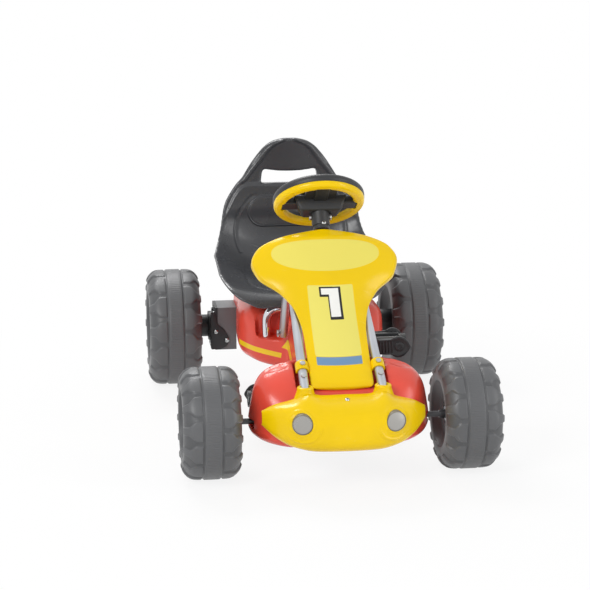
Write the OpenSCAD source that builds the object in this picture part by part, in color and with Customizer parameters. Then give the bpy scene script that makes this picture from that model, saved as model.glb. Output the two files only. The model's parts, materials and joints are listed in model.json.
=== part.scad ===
/* [Layout] */
// Distance between the front and the rear axle
wheelbase = 590; // [580:1:600]
// Front wheel centre to front wheel centre
front_track = 438; // [434:1:446]
// Rear wheel centre to rear wheel centre
rear_track = 482; // [478:1:490]
// Reach of the bumper ahead of the front axle
nose_reach = 123; // [121:1:126]

/* [Front wheels] */
// Diameter over the raised band of the tread
front_wheel_d = 190; // [186:1:194]
// Width over the shoulder lugs
front_wheel_w = 104; // [100:1:106]
// Diameter of the recess in the side of the wheel
front_recess_d = 112; // [100:1:116]
// Diameter of the stub axle
stub_d = 10; // [8:0.5:12]

/* [Rear wheels] */
// Diameter over the raised band of the tread
rear_wheel_d = 230; // [226:1:234]
// Width over the shoulder lugs
rear_wheel_w = 108; // [104:1:110]
// Diameter of the recess in the side of the wheel
rear_recess_d = 136; // [124:1:140]
// Diameter of the rear axle
axle_d = 16; // [14:0.5:17]

/* [Wheel mouldings] */
// Radius of the tyre's shoulders
shoulder_r = 26; // [22:1:28]
// Height of the lugs on the shoulders
lug_h = 4; // [2.5:0.5:5]
// Lugs round each shoulder
lug_count = 14; // [10:1:18]
// Height of the band in the middle of the tread
band_h = 2.5; // [1.5:0.5:4]
// Width of the band in the middle of the tread
band_w = 26; // [18:1:34]
// Depth of the recess on the outer side
recess_out = 32; // [26:1:36]
// Depth of the recess on the inner side
recess_in = 20; // [16:1:24]
// Wall of the hollow wheels
wheel_wall = 3.5; // [2.5:0.5:5]
// Diameter of the wheel's hub inside
hub_d = 40; // [34:1:44]

/* [Body shell] */
// Wall of the red body
body_wall = 3; // [2.5:0.5:4]
// Half width of the nose over the axle slots
nose_half = 162; // [159:1:164]
// Half width of the tunnel between the legs
tunnel_half = 44; // [42:0.5:45]
// Half width of the tub under the seat
tub_half = 127; // [123:1:130]
// Underside of the nose above the ground
nose_clear = 58; // [54:1:62]
// Underside of the tunnel and the tub above the ground
tub_clear = 84; // [80:1:88]
// Top of the tub above the ground
tub_top = 200; // [198:0.5:203]

/* [Hood and bumper] */
// Wall of the hood and the bumper
cover_wall = 3; // [2.5:0.5:3.5]
// Half width of the hood's front panel
panel_half = 53; // [51:0.5:53.5]
// Half width of the dash
dash_half = 129; // [124:1:134]
// Depth of the hood's rolled edge
hood_rim = 13; // [10:1:15]
// Half width of the bumper
bumper_half = 137; // [134:1:139]
// Diameter of a headlamp
lamp_d = 34; // [30:1:38]
// Headlamp to the middle of the kart
lamp_x = 77; // [73:1:81]

/* [Steering] */
// Tilt of the column from the vertical
column_tilt = 37; // [36:0.5:38]
// Diameter of the column
column_d = 12; // [10:0.5:13]
// Column's length from the beam to the middle of the wheel
column_len = 382; // [376:1:386]
// Outer diameter of the steering wheel
steer_d = 164; // [156:1:170]
// Thickness of the steering wheel's rim, across
steer_rim = 22; // [18:1:24]
// Kingpin to the middle of the kart
kingpin_x = 116; // [114:0.5:118]
// Length of a knuckle's steering arm
arm_len = 30; // [28:0.5:32]
// Most that the steering wheel turns each way, in degrees
steer_max = 30; // [24:1:32]
// Most that the front wheels turn each way, in degrees
wheel_max = 20; // [16:1:21]

/* [Tube frame] */
// Diameter of the steel tubes
tube_d = 16; // [14:0.5:17]
// Wall of the steel tubes
tube_wall = 1.5; // [1:0.25:2.5]
// Seat hoop's legs to the middle of the kart
seat_leg_x = 78; // [74:1:82]

/* [Drive] */
// Crank axis behind the front axle
crank_back = 155; // [152:1:158]
// Crank axis above the ground
crank_z = 134; // [131:1:136]
// Length of the crank arms
crank_len = 85; // [80:1:86]
// Angle of the crank arms above the horizontal
crank_angle = 48; // [0:1:90]
// Diameter of the crank shaft
crank_d = 14; // [12:0.5:15]
// Teeth of the chainring
ring_teeth = 18; // [16:1:18]
// Teeth of the rear sprocket
sprocket_teeth = 12; // [11:1:13]
// Pitch of the chain
chain_pitch = 12.7; // [12:0.1:12.8]
// Chain line to the middle of the kart
chain_x = 16; // [14:1:18]
// Outer end of the pedals
pedal_out = 132; // [126:1:134]
// Length of a pedal along the kart
pedal_len = 58; // [50:1:60]

/* [Seat] */
// Top of the seat's handle above the ground
seat_top = 484; // [477:1:491]
// Half width of the seat over its sides
seat_half = 164; // [159:1:167]
// Thickness of the seat
seat_thick = 14; // [12:1:16]
// Width of the gap under the handle
grip_w = 112; // [100:1:116]
// Height of the gap under the handle
grip_h = 30; // [26:1:32]

/* [Fits] */
// Clearance of running fits, on the radius
run_fit = 0.05; // [0.02:0.01:0.1]
// Gap between parts that move past each other or sit in a recess
gap = 0.3; // [0.2:0.05:0.4]

/* [Hidden] */
$fn = 48;
front_y = (nose_reach - wheelbase - rear_wheel_d / 2) / 2;
rear_y = front_y + wheelbase;
front_z = front_wheel_d / 2;
rear_z = rear_wheel_d / 2;
crank_y = front_y + crank_back;
red = [0.82, 0.12, 0.09];
yellow = [0.97, 0.82, 0.05];
charcoal = [0.25, 0.25, 0.26];
black = [0.08, 0.08, 0.09];
steel = [0.66, 0.67, 0.69];
dark_steel = [0.33, 0.34, 0.36];
chrome = [0.85, 0.86, 0.88];

// Smooth curve through a list of [place, value] keys, with no overshoot
function seg(k, s, i = 0) = i >= len(k) - 2 || s < k[i + 1][0] ? i : seg(k, s, i + 1);
function secant(k, i) = (k[i + 1][1] - k[i][1]) / (k[i + 1][0] - k[i][0]);
function slope(k, i) =
    i == 0 ? secant(k, 0) :
    i == len(k) - 1 ? secant(k, i - 1) :
    secant(k, i - 1) * secant(k, i) <= 0 ? 0 :
    2 * secant(k, i - 1) * secant(k, i) / (secant(k, i - 1) + secant(k, i));
function curve(k, s) =
    let (i = seg(k, s), h = k[i + 1][0] - k[i][0], t = (s - k[i][0]) / h)
    (2 * t ^ 3 - 3 * t ^ 2 + 1) * k[i][1] + (t ^ 3 - 2 * t ^ 2 + t) * h * slope(k, i)
    + (3 * t ^ 2 - 2 * t ^ 3) * k[i + 1][1] + (t ^ 3 - t ^ 2) * h * slope(k, i + 1);
function unit(v) = v / norm(v);
function pow_sign(v, e) = sign(v) * abs(v) ^ e;
function arc(cx, cy, r, a0, a1, n) =
    [for (i = [0:n]) let (a = a0 + (a1 - a0) * i / n) [cx + r * cos(a), cy + r * sin(a)]];

// Closed solid through rings of points
module loft(rings) {
    n = len(rings[0]);
    m = len(rings);
    sides = [for (i = [0:m - 2], j = [0:n - 1])
        let (a = i * n + j, b = i * n + (j + 1) % n)
        each [[a, b, a + n], [b, b + n, a + n]]];
    ends = [[for (j = [n - 1:-1:0]) j], [for (j = [0:n - 1]) (m - 1) * n + j]];
    polyhedron([for (r = rings) each r], concat(sides, ends));
}

// Open-edged shell between two skins of the same number of rings and points
module shell(outer, inner, close_start = false, close_end = false) {
    k = len(outer[0]);
    m = len(outer);
    off = m * k;
    skins = [for (i = [0:m - 2], j = [0:k - 2])
        let (a = i * k + j, b = a + 1, c = a + k, d = c + 1)
        each [[a, b, c], [b, d, c], [off + a, off + c, off + b], [off + b, off + c, off + d]]];
    edges = [for (i = [0:m - 2])
        let (a = i * k, c = a + k, b = i * k + k - 1, d = b + k)
        each [[a, c, off + a], [c, off + c, off + a], [b, off + b, d], [d, off + b, off + d]]];
    e = (m - 1) * k;
    start = close_start
        ? [[for (j = [k - 1:-1:0]) j], [for (j = [0:k - 1]) off + j], [0, off, k - 1], [off, off + k - 1, k - 1]]
        : [for (j = [0:k - 2]) each [[j, off + j, j + 1], [j + 1, off + j, off + j + 1]]];
    end = close_end
        ? [[for (j = [0:k - 1]) e + j], [for (j = [k - 1:-1:0]) off + e + j],
           [e, e + k - 1, off + e], [off + e, e + k - 1, off + e + k - 1]]
        : [for (j = [0:k - 2]) let (a = e + j) each [[a, a + 1, off + a], [a + 1, off + a + 1, off + a]]];
    polyhedron([for (r = concat(outer, inner)) each r], concat(skins, edges, start, end));
}

module rod(a, b, d) {
    v = b - a;
    l = norm(v);
    translate(a) rotate([0, acos(v[2] / l), atan2(v[1], v[0])]) cylinder(d = d, h = l);
}

// Round bar along straight runs with round elbows at the corners
module bent_bar(p, d, r) {
    n = len(p);
    u = [for (i = [0:n - 2]) unit(p[i + 1] - p[i])];
    cut = [for (i = [0:n - 1]) i == 0 || i == n - 1 ? 0 : r * tan(acos(u[i - 1] * u[i]) / 2)];
    for (i = [0:n - 2]) rod(p[i] + u[i] * cut[i], p[i + 1] - u[i] * cut[i + 1], d);
    for (i = [1:n - 2]) {
        turn = acos(u[i - 1] * u[i]);
        x = -unit(u[i] - u[i - 1] * (u[i - 1] * u[i]));
        y = u[i - 1];
        z = cross(x, y);
        c = p[i] - y * cut[i] - x * r;
        multmatrix([[x[0], y[0], z[0], c[0]], [x[1], y[1], z[1], c[1]], [x[2], y[2], z[2], c[2]]])
            rotate_extrude(angle = turn) translate([r, 0]) circle(d = d);
    }
}

module bent_tube(p, d, wall, r) {
    n = len(p);
    over = 1;
    first = p[0] - unit(p[1] - p[0]) * over;
    last = p[n - 1] + unit(p[n - 1] - p[n - 2]) * over;
    bore = [for (i = [0:n - 1]) i == 0 ? first : i == n - 1 ? last : p[i]];
    difference() {
        bent_bar(p, d, r);
        bent_bar(bore, d - 2 * wall, r);
    }
}

// Places and directions along straight runs joined by round bends
bend_steps = 4;
function corner(p, i, r) =
    let (
        a = unit(p[i] - p[i - 1]),
        b = unit(p[i + 1] - p[i]),
        turn = acos(a * b),
        w = unit(b - a * (a * b)),
        c = p[i] - a * r * tan(turn / 2) + w * r)
    [for (k = [0:bend_steps])
        let (q = turn * k / bend_steps)
        [c - w * r * cos(q) + a * r * sin(q), a * cos(q) + w * sin(q)]];
function bent_path(p, r) =
    let (m = len(p) - 1)
    concat([[p[0], unit(p[1] - p[0])]], [for (i = [1:m - 1]) each corner(p, i, r)], [[p[m], unit(p[m] - p[m - 1])]]);
sweep_sides = 16;
function sweep_ring(c, t, d) =
    let (e = unit(cross(t, [1, 0, 0])), g = cross(t, e))
    [for (k = [0:sweep_sides - 1]) let (q = -360 * k / sweep_sides) c + d / 2 * (e * cos(q) + g * sin(q))];
module swept_tube(p, d, wall, r) {
    way = bent_path(p, r);
    m = len(way) - 1;
    over = 1;
    difference() {
        loft([for (w = way) sweep_ring(w[0], w[1], d)]);
        loft([for (i = [0:m])
            sweep_ring(way[i][0] + way[i][1] * (i == 0 ? -over : i == m ? over : 0), way[i][1], d - 2 * wall)]);
    }
}

module mirror_x(side) {
    if (side > 0) children();
    else mirror([1, 0, 0]) children();
}

module both_sides() {
    children();
    mirror([1, 0, 0]) children();
}

module along_x(x0, x1, d) {
    translate([x0, 0, 0]) rotate([0, 90, 0]) cylinder(d = d, h = x1 - x0);
}

module tube_x(x0, x1, d, bore) {
    difference() {
        along_x(x0, x1, d);
        along_x(x0 - 1, x1 + 1, bore);
    }
}

// Red body: half width, top, underside and side slope along the kart
nose_front = front_y - nose_reach + 50;
fender_back = front_y + 27;
tub_front = crank_y + 188;
tail = rear_y + 56;
tunnel_top = 208;
half_keys = [
    [nose_front, nose_half - 79], [nose_front + 8, nose_half - 58], [nose_front + 20, nose_half - 34],
    [front_y - 24, nose_half - 8],
    [front_y, nose_half], [fender_back - 6, nose_half - 5], [fender_back, nose_half - 17],
    [fender_back + 5, nose_half - 50], [fender_back + 12, tunnel_half + 18], [fender_back + 26, tunnel_half],
    [crank_y, tunnel_half], [tub_front, tunnel_half], [tub_front + 8, tunnel_half + 14],
    [tub_front + 26, tub_half - 38], [tub_front + 46, tub_half - 18], [tub_front + 94, tub_half],
    [rear_y - 80, tub_half - 4], [rear_y - 36, tub_half - 10], [rear_y + 34, tub_half - 10], [tail - 8, tub_half - 18],
    [tail, tub_half - 32]];
top_keys = [
    [nose_front, 100], [nose_front + 6, 122], [nose_front + 14, 138], [nose_front + 26, 154],
    [front_y - 26, 174], [front_y, 187], [fender_back - 8, 192], [fender_back + 22, 197],
    [crank_y - 40, tunnel_top - 4], [crank_y, tunnel_top], [crank_y + 50, tunnel_top - 8],
    [tub_front - 30, tunnel_top - 18], [tub_front, tunnel_top - 20],
    [tub_front + 28, tub_top - 13], [tub_front + 50, tub_top - 12], [tub_front + 74, tub_top], [tail - 30, tub_top], [tail - 10, tub_top - 8],
    [tail, tub_top - 26]];
under_keys = [
    [nose_front, nose_clear + 16], [nose_front + 14, nose_clear + 4], [front_y - 20, nose_clear],
    [fender_back - 8, nose_clear], [fender_back + 20, tub_clear - 8], [crank_y, tub_clear - 4], [tub_front, tub_clear],
    [tub_front + 80, tub_clear], [tail - 30, tub_clear], [tail, tub_clear + 16]];
taper_keys = [
    [nose_front, 0.06], [front_y, 0.14], [fender_back, 0.14], [fender_back + 26, 0.12], [tub_front, 0.12],
    [tub_front + 60, 0.05], [rear_y - 40, 0], [tail, 0]];
body_stations = concat(
    [for (i = [0:4]) nose_front + 6 * i],
    [for (i = [0:5]) nose_front + 34 + (fender_back - nose_front - 44) * i / 5],
    [for (i = [0:6]) fender_back - 5 + 5 * i],
    [for (i = [0:5]) fender_back + 40 + (tub_front - fender_back - 45) * i / 5],
    [for (i = [0:7]) tub_front + 4 + 10 * i],
    [for (i = [0:5]) tub_front + 92 + (tail - tub_front - 112) * i / 5],
    [for (i = [3:-1:0]) tail - 5 * i]);
body_lip = 58;
body_square = 2 / 4.2;
body_points = 18;
function body_half(y) = curve(half_keys, y);
function body_top(y) = curve(top_keys, y);
function body_under(y) = curve(under_keys, y);
function body_ring(y, half, top, under) =
    let (mid = (top + under) / 2, high = (top - under) / 2, k = curve(taper_keys, y))
    [for (i = [0:body_points])
        let (
            a = -body_lip + (180 + 2 * body_lip) * i / body_points,
            s = pow_sign(sin(a), body_square),
            c = pow_sign(cos(a), body_square))
        [half * c * (1 - k * (s + 1) / 2), y, mid + high * s]];
function inset(y) = nose_front + body_wall + (y - nose_front) * (tail - nose_front - 2 * body_wall) / (tail - nose_front);
body_outer = [for (y = body_stations) body_ring(y, body_half(y), body_top(y), body_under(y))];
body_inner = [for (s = body_stations)
    let (
        y = inset(s),
        a = max(nose_front, y - body_wall),
        b = min(tail, y + body_wall))
    body_ring(y, min(body_half(a), body_half(b)) - body_wall, min(body_top(a), body_top(b)) - body_wall,
        max(body_under(a), body_under(b)) + 0.6)];

// Recess at the front of the tub where the seat hoop stands
recess_floor = 142;
recess_back = tub_front + 54;
recess_in_x = tunnel_half + 3;
recess_out_x = seat_leg_x + 20;
leg_y = tub_front + 37;
module leg_recess(grow) {
    both_sides()
        translate([recess_in_x - grow, tub_front - 40, recess_floor - grow])
            cube([recess_out_x - recess_in_x + 2 * grow, recess_back - tub_front + 40 + grow, 120]);
}

// Trough between the fenders that the tubes and the hood run down into
trough_half = 77.5;
trough_floor = 152;
trough_back = fender_back - 6;
module nose_trough(grow) {
    translate([-trough_half - grow, nose_front - 20, trough_floor - grow])
        cube([2 * (trough_half + grow), trough_back - nose_front + 20 + grow, 120]);
}

boss_x = 70;
boss_d = 22;
bolt_d = 8;
beam_z = 118;
beam_t = 6;
slot_half = 25;
slot_h = stub_d + 5;
bush_d = crank_d + 8;
bracket_in = tub_half - 10 + gap;

module body_shell() {
    color(red) difference() {
        union() {
            shell(body_outer, body_inner, true, true);
            intersection() {
                loft([for (r = body_outer) r]);
                union() {
                    leg_recess(body_wall);
                    nose_trough(body_wall);
                }
            }
            both_sides() translate([boss_x, front_y, beam_z + beam_t + gap])
                cylinder(d = boss_d, h = trough_floor - 1 - beam_z - beam_t - gap);
        }
        leg_recess(0);
        nose_trough(0);
        both_sides() {
            translate([kingpin_x + 24, front_y - slot_half, front_z - slot_h / 2]) cube([60, 2 * slot_half, slot_h]);
            translate([boss_x, front_y, beam_z]) cylinder(d = bolt_d + 2 * gap, h = 27);
        }
        both_sides() for (y = foot_y) translate([foot_x, y, tub_top - 20]) cylinder(d = seat_bolt_d + 2 * gap, h = 40);
        on_column() cylinder(d = column_d + 5, h = column_len);
        translate([0, crank_y, crank_z]) along_x(-80, 80, bush_d + 2 * gap);
        translate([0, rear_y, rear_z]) along_x(-tub_half - 20, tub_half + 20, axle_d + 8);
    }
}

// Hood: edge line, half width and crown along the panel and the dash
hood_low = front_y - 43;
edge_y = [[0, hood_low], [1, hood_low + 3], [2, front_y - 9], [3, front_y + 41], [4, front_y + 79], [5, front_y + 110],
    [6, front_y + 138], [7, front_y + 158], [8, front_y + 173], [9, front_y + 183], [10, front_y + 186], [11, front_y + 188]];
edge_z = [[0, 161], [1, 165], [2, 190], [3, 230], [4, 261], [5, 289],
    [6, 315], [7, 337], [8, 356], [9, 371], [10, 378], [11, 383]];
hood_half = [[0, panel_half - 5], [1, panel_half], [2, panel_half], [3, panel_half + 1], [4, panel_half + 9],
    [5, dash_half - 45], [6, dash_half - 9], [7, dash_half], [8, dash_half - 12], [9, dash_half - 47],
    [10, dash_half - 80], [11, 16]];
hood_crown = [[0, 2], [1, 5], [3, 9], [4, 12], [6, 18], [8, 16], [10, 6], [11, 2]];
hood_deep = [[0, 4], [2, 6], [3, 4], [4, 3.2], [5, 6], [6, hood_rim], [9, hood_rim], [11, 5]];
hood_stations = [for (i = [0:26]) 11 * i / 26];
hood_across = 16;
function hood_ring(s, inside) =
    let (
        y = curve(edge_y, s),
        z = curve(edge_z, s),
        d = 0.02,
        lo = max(0, s - d),
        hi = min(11, s + d),
        t = unit([0, curve(edge_y, hi) - curve(edge_y, lo), curve(edge_z, hi) - curve(edge_z, lo)]),
        n = [0, -t[2], t[1]],
        w = curve(hood_half, s) - inside,
        crown = curve(hood_crown, s),
        deep = curve(hood_deep, s))
    concat(
        [[w, y, z] - n * deep],
        [for (i = [0:hood_across])
            let (u = 1 - 2 * i / hood_across, v = sin(90 * u))
            [w * v, y, z] + n * (crown * (1 - v * v) - 3 * abs(v) ^ 6 - inside)],
        [[-w, y, z] - n * deep]);
hood_tab_y = front_y - 10;
hoop_low_y = front_y - 43;
hoop_low_z = 166.4;
hoop_low_x = 65;
hoop_top_x = 60;
hoop_top_y = front_y + 146;
hoop_top_z = 284;
hoop_screw_y = hoop_low_y + 12;
hoop_rise = atan((hoop_top_z - hoop_low_z) / (hoop_top_y - hoop_low_y));
function leg_z(y) = hoop_low_z + (y - hoop_low_y) * tan(hoop_rise);
function leg_x(y) = hoop_low_x + (y - hoop_low_y) * (hoop_top_x - hoop_low_x) / (hoop_top_y - hoop_low_y);
screw_d = 5;
tab_t = 3;

module hood_tab() {
    y = hood_tab_y;
    rotate_at = [leg_x(y), y, leg_z(y)];
    translate(rotate_at) rotate([hoop_rise, 0, 0]) difference() {
        union() {
            rotate([90, 0, 0]) cylinder(d = tube_d + 2 * gap + 2 * tab_t, h = 16, center = true);
            translate([-tube_d / 2 - tab_t - 3, -8, -4]) cube([8, 16, 8]);
        }
        rotate([90, 0, 0]) cylinder(d = tube_d + 2 * gap, h = 20, center = true);
        translate([-30, -20, -40]) cube([60, 40, 36]);
        cylinder(d = screw_d + 2 * gap, h = 40);
    }
}

module hood() {
    color(yellow) {
        shell([for (s = hood_stations) hood_ring(s, 0)],
            [for (s = hood_stations) hood_ring(0.12 + s * (11 - 0.3) / 11, cover_wall)], false, true);
        both_sides() hood_tab();
    }
}

module hood_screws() {
    color(steel) both_sides()
        translate([leg_x(hood_tab_y), hood_tab_y, leg_z(hood_tab_y)]) rotate([hoop_rise, 0, 0])
            translate([0, 0, tube_d / 2 + gap]) {
                cylinder(d = screw_d, h = tab_t + 1);
                translate([0, 0, tab_t + 0.5]) cylinder(d = screw_d + 4, h = 2);
            }
}

// Bumper: sections across the kart from the top edge over the front to the lower edge
function round_in(x, e) = (abs(x) / bumper_half) ^ e;
function bumper_front(x) = front_y - nose_reach + 66 * round_in(x, 3);
function bumper_deep(x) = 62 - 53 * round_in(x, 3);
function bumper_top(x) = curve([[0, 154], [50, 153], [80, 148], [115, 139], [bumper_half, 127]], abs(x));
function bumper_low(x) = curve([[0, 65], [50, 66], [90, 74], [115, 86], [bumper_half, 103]], abs(x));
bumper_stations = [for (i = [0:30]) let (a = 90 - 180 * i / 30) bumper_half * sin(a)];
bumper_arc = 16;
function bumper_ring(x, inside) =
    let (
        f = bumper_front(x),
        deep = bumper_deep(x),
        low_deep = 8 + 0.36 * deep,
        zt = bumper_top(x),
        zb = bumper_low(x),
        zm = zb + 0.42 * (zt - zb))
    [for (i = [0:bumper_arc])
        let (
            a = 90 - 180 * i / bumper_arc,
            c = pow_sign(cos(a), 0.75),
            s = pow_sign(sin(a), 0.75),
            d = a >= 0 ? deep : low_deep,
            h = a >= 0 ? zt - zm : zm - zb)
        [x, f + d * (1 - c) + inside * cos(a), zm + h * s - inside * sin(a)]];
turret_y = front_y - 56;
turret_d = 32;
turret_h = 16;
lamp_z = 120;
lamp_turn = 12;
module turret() {
    translate([hoop_low_x, turret_y, trough_floor + gap]) rotate_extrude()
        polygon(concat([[0, 0], [turret_d / 2, 0]], arc(turret_d / 2 - 6, turret_h - 6, 6, 0, 90, 5), [[0, turret_h]]));
}

module at_lamp() {
    translate([lamp_x, bumper_front(lamp_x), lamp_z]) rotate([90, 0, lamp_turn]) children();
}

module bumper() {
    color(yellow) difference() {
        union() {
            shell([for (x = bumper_stations) bumper_ring(x, 0)],
                [for (x = bumper_stations) bumper_ring(x, cover_wall)]);
            both_sides() turret();
        }
        both_sides() {
            at_lamp() translate([0, 0, -20]) cylinder(d = lamp_d + 2 * gap, h = 40);
            hoop_leg_path(tube_d + 2 * gap);
        }
    }
}

module headlamp(side) {
    color(steel) mirror_x(side) at_lamp() translate([0, 0, -12]) rotate_extrude()
            polygon(concat([[0, 0], [lamp_d / 2, 0], [lamp_d / 2, 15]], arc(lamp_d / 2 - 3, 14, 2, 45, 90, 3),
                arc(0, -62, 77.2, 80.5, 90, 5)));
}
module headlamp_left() { headlamp(1); }
module headlamp_right() { headlamp(-1); }

// Tubes beside the hood, bent back over the tunnel to their bolted ends
stay_foot_y = tub_front - 12;
stay_foot_z = 158;
stay_foot_x = tunnel_half + gap + tube_d / 2;
stay_top_y = stay_foot_y - (hoop_top_z - stay_foot_z);
hoop_bend = 30;
hoop_points = [
    [hoop_low_x, hoop_low_y, hoop_low_z],
    [hoop_top_x, hoop_top_y, hoop_top_z],
    [hoop_top_x, stay_top_y, hoop_top_z],
    [stay_foot_x, stay_foot_y, stay_foot_z]];
module hoop_leg_path(d) {
    rod(hoop_points[0] - unit(hoop_points[1] - hoop_points[0]) * 20, hoop_points[1], d);
}
module hoop_tube(side) {
    color(steel) mirror_x(side) difference() {
        swept_tube(hoop_points, tube_d, tube_wall, hoop_bend);
        translate([0, stay_foot_y - 3, stay_foot_z + 3]) along_x(0, 90, bolt_d + 2 * gap);
        translate([leg_x(hoop_screw_y), hoop_screw_y, leg_z(hoop_screw_y)]) rotate([hoop_rise, 0, 0])
            cylinder(d = screw_d + 2 * gap, h = 20);
    }
}
module hoop_tube_left() { hoop_tube(1); }
module hoop_tube_right() { hoop_tube(-1); }

cross_y = front_y + 168;
module hoop_cross_tube() {
    color(steel) translate([0, cross_y, hoop_top_z])
        tube_x(-hoop_top_x + tube_d / 2 + gap, hoop_top_x - tube_d / 2 - gap, tube_d, tube_d - 2 * tube_wall);
}

module hoop_bolts() {
    color(steel) both_sides() {
        translate([0, stay_foot_y - 3, stay_foot_z + 3]) {
            along_x(tunnel_half + 1, stay_foot_x + tube_d / 2 + 2, bolt_d);
            along_x(stay_foot_x + tube_d / 2 + 1, stay_foot_x + tube_d / 2 + 4, bolt_d + 6);
        }
        translate([leg_x(hoop_screw_y), hoop_screw_y, leg_z(hoop_screw_y)]) rotate([hoop_rise, 0, 0]) {
            cylinder(d = screw_d, h = tube_d / 2 + 2);
            translate([0, 0, tube_d / 2 + gap]) cylinder(d = screw_d + 5, h = 2.5);
        }
    }
}

// Seat: path of its front face from the lip over the pan to the top of the handle
pan_end = tub_front + 190;
pan_z = 221;
bend_r = 102;
path_y = [[0, tub_front - 2], [1, tub_front + 8], [2, tub_front + 34], [3, tub_front + 100], [4, pan_end],
    [4.5, pan_end + bend_r * sin(18)], [5, pan_end + bend_r * sin(36)], [5.5, pan_end + bend_r * sin(54)],
    [6, pan_end + bend_r * sin(72)], [6.5, pan_end + bend_r * sin(86)], [7.2, pan_end + bend_r + 1],
    [8, pan_end + bend_r + 2], [9, pan_end + bend_r], [10, pan_end + bend_r - 4], [11, pan_end + bend_r - 6]];
path_z = [[0, 208], [1, 221], [2, 227], [3, pan_z + 2], [4, pan_z],
    [4.5, pan_z + bend_r * (1 - cos(18))], [5, pan_z + bend_r * (1 - cos(36))], [5.5, pan_z + bend_r * (1 - cos(54))],
    [6, pan_z + bend_r * (1 - cos(72))], [6.5, pan_z + bend_r * (1 - cos(86))], [7.2, seat_top - 124],
    [8, seat_top - 82], [9, seat_top - 47], [10, seat_top - 14], [11, seat_top - 1]];
path_half = [[0, 102], [1, 131], [2, 152], [3, seat_half], [4, seat_half], [5, seat_half - 6], [6, seat_half - 17],
    [7, seat_half - 28], [7.8, 110], [8.1, 97], [8.4, 87], [9, 73], [10, 46], [10.6, 32], [11, 16]];
path_side = [[0, 0], [1, 4], [2, 15], [3, 36], [4, 51], [5, 48], [6, 31], [7, 15], [8, 5], [9, 1], [10, 0], [11, 0]];
path_thick = [[0, seat_thick - 4], [1, seat_thick], [6, seat_thick], [8, seat_thick + 8], [10, seat_thick + 8],
    [11, seat_thick - 2]];
seat_stations = [for (i = [0:32]) 11 * i / 32];
seat_across = 14;
function seat_frame(s) =
    let (lo = max(0, s - 0.05), hi = min(11, s + 0.05))
    unit([0, curve(path_y, hi) - curve(path_y, lo), curve(path_z, hi) - curve(path_z, lo)]);
function seat_ring(s) =
    let (
        c = [0, curve(path_y, s), curve(path_z, s)],
        t = seat_frame(s),
        n = [0, -t[2], t[1]],
        w = curve(path_half, s),
        side = curve(path_side, s),
        thick = curve(path_thick, s))
    concat(
        [for (i = [0:seat_across])
            let (u = 1 - 2 * i / seat_across, v = sin(90 * u))
            c + [w * v, 0, 0] + n * side * abs(v) ^ 2.6],
        [for (i = [seat_across - 1:-1:1])
            let (u = 1 - 2 * i / seat_across, v = sin(90 * u))
            c + [w * v, 0, 0] + n * (side * abs(v) ^ 2.6 - thick * (1 - v ^ 6) ^ 0.4)]);
grip_z = seat_top - 77;
foot_y = [tub_front + 110, tub_front + 200];
foot_x = 60;
seat_bolt_d = 6;
module seat() {
    color(charcoal) difference() {
        union() {
            loft([for (s = seat_stations) seat_ring(s)]);
            both_sides() for (y = foot_y)
                translate([foot_x, y, tub_top + gap]) cylinder(d = 26, h = 14 - gap);
        }
        translate([0, tub_front + 250, grip_z]) rotate([-90, 0, 0]) linear_extrude(100) {
            square([grip_w - grip_h, grip_h], center = true);
            for (x = [-1, 1]) translate([x * (grip_w - grip_h) / 2, 0]) circle(d = grip_h);
        }
        both_sides() for (y = foot_y)
            translate([foot_x, y, tub_top - 1]) cylinder(d = seat_bolt_d + 2 * gap, h = 12);
    }
}

module seat_bolts() {
    color(steel) both_sides() for (y = foot_y)
        translate([foot_x, y, 0]) {
            translate([0, 0, tub_top - body_wall - 6.5]) cylinder(d = 12, h = 4.5, $fn = 6);
            translate([0, 0, tub_top - body_wall - 5]) cylinder(d = seat_bolt_d, h = 15);
        }
}

// Chrome hoop under the front of the seat
leg_top = 196.5;
module seat_hoop() {
    color(chrome) bent_tube([
        [-seat_leg_x, leg_y, recess_floor + gap],
        [-seat_leg_x, leg_y, leg_top],
        [seat_leg_x, leg_y, leg_top],
        [seat_leg_x, leg_y, recess_floor + gap]], tube_d, tube_wall, 24);
}

// Steering column frame: Z along the column, zero where it crosses the beam
column_foot = [0, front_y + 8, beam_z + beam_t / 2];
column_dir = [0, sin(column_tilt), cos(column_tilt)];
column_tail = 42;
module on_column() {
    translate(column_foot) rotate([-column_tilt, 0, 0]) children();
}
drop_len = arm_len * sin(wheel_max) / sin(steer_max);
drop_t = 5;
drop_pin_d = 6;
drop_at = -column_tail + drop_t + 1;

yoke_t = 5;
sleeve_d = 22;
sleeve_h = 34;
kingpin_d = 10;
module yoke() {
    translate([kingpin_x, front_y, front_z]) difference() {
        union() {
            for (z = [sleeve_h / 2 + gap, -sleeve_h / 2 - gap - yoke_t])
                translate([0, 0, z]) {
                    cylinder(d = 26, h = yoke_t);
                    translate([-22, -13, 0]) cube([22, 26, yoke_t]);
                }
            translate([-22, -13, -sleeve_h / 2 - gap - yoke_t]) cube([yoke_t, 26, sleeve_h + 2 * gap + 2 * yoke_t]);
        }
        translate([0, 0, -60]) cylinder(r = kingpin_d / 2 + run_fit, h = 120);
    }
}

module front_beam() {
    color(dark_steel) difference() {
        union() {
            translate([-kingpin_x + 10, front_y - 8, beam_z]) cube([2 * kingpin_x - 20, 28, beam_t]);
            both_sides() {
                yoke();
                translate([kingpin_x - 22, front_y - 8, front_z]) cube([yoke_t, 20, beam_z - front_z + beam_t]);
            }
        }
        on_column() translate([0, 0, -20]) cylinder(d = column_d + 8 + 2 * gap, h = 40);
        both_sides() translate([boss_x, front_y, beam_z - 1]) cylinder(d = bolt_d + 2 * gap, h = beam_t + 2);
        both_sides() translate([kingpin_x, front_y, front_z - 60]) cylinder(r = kingpin_d / 2 + run_fit, h = 120);
    }
}

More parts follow.
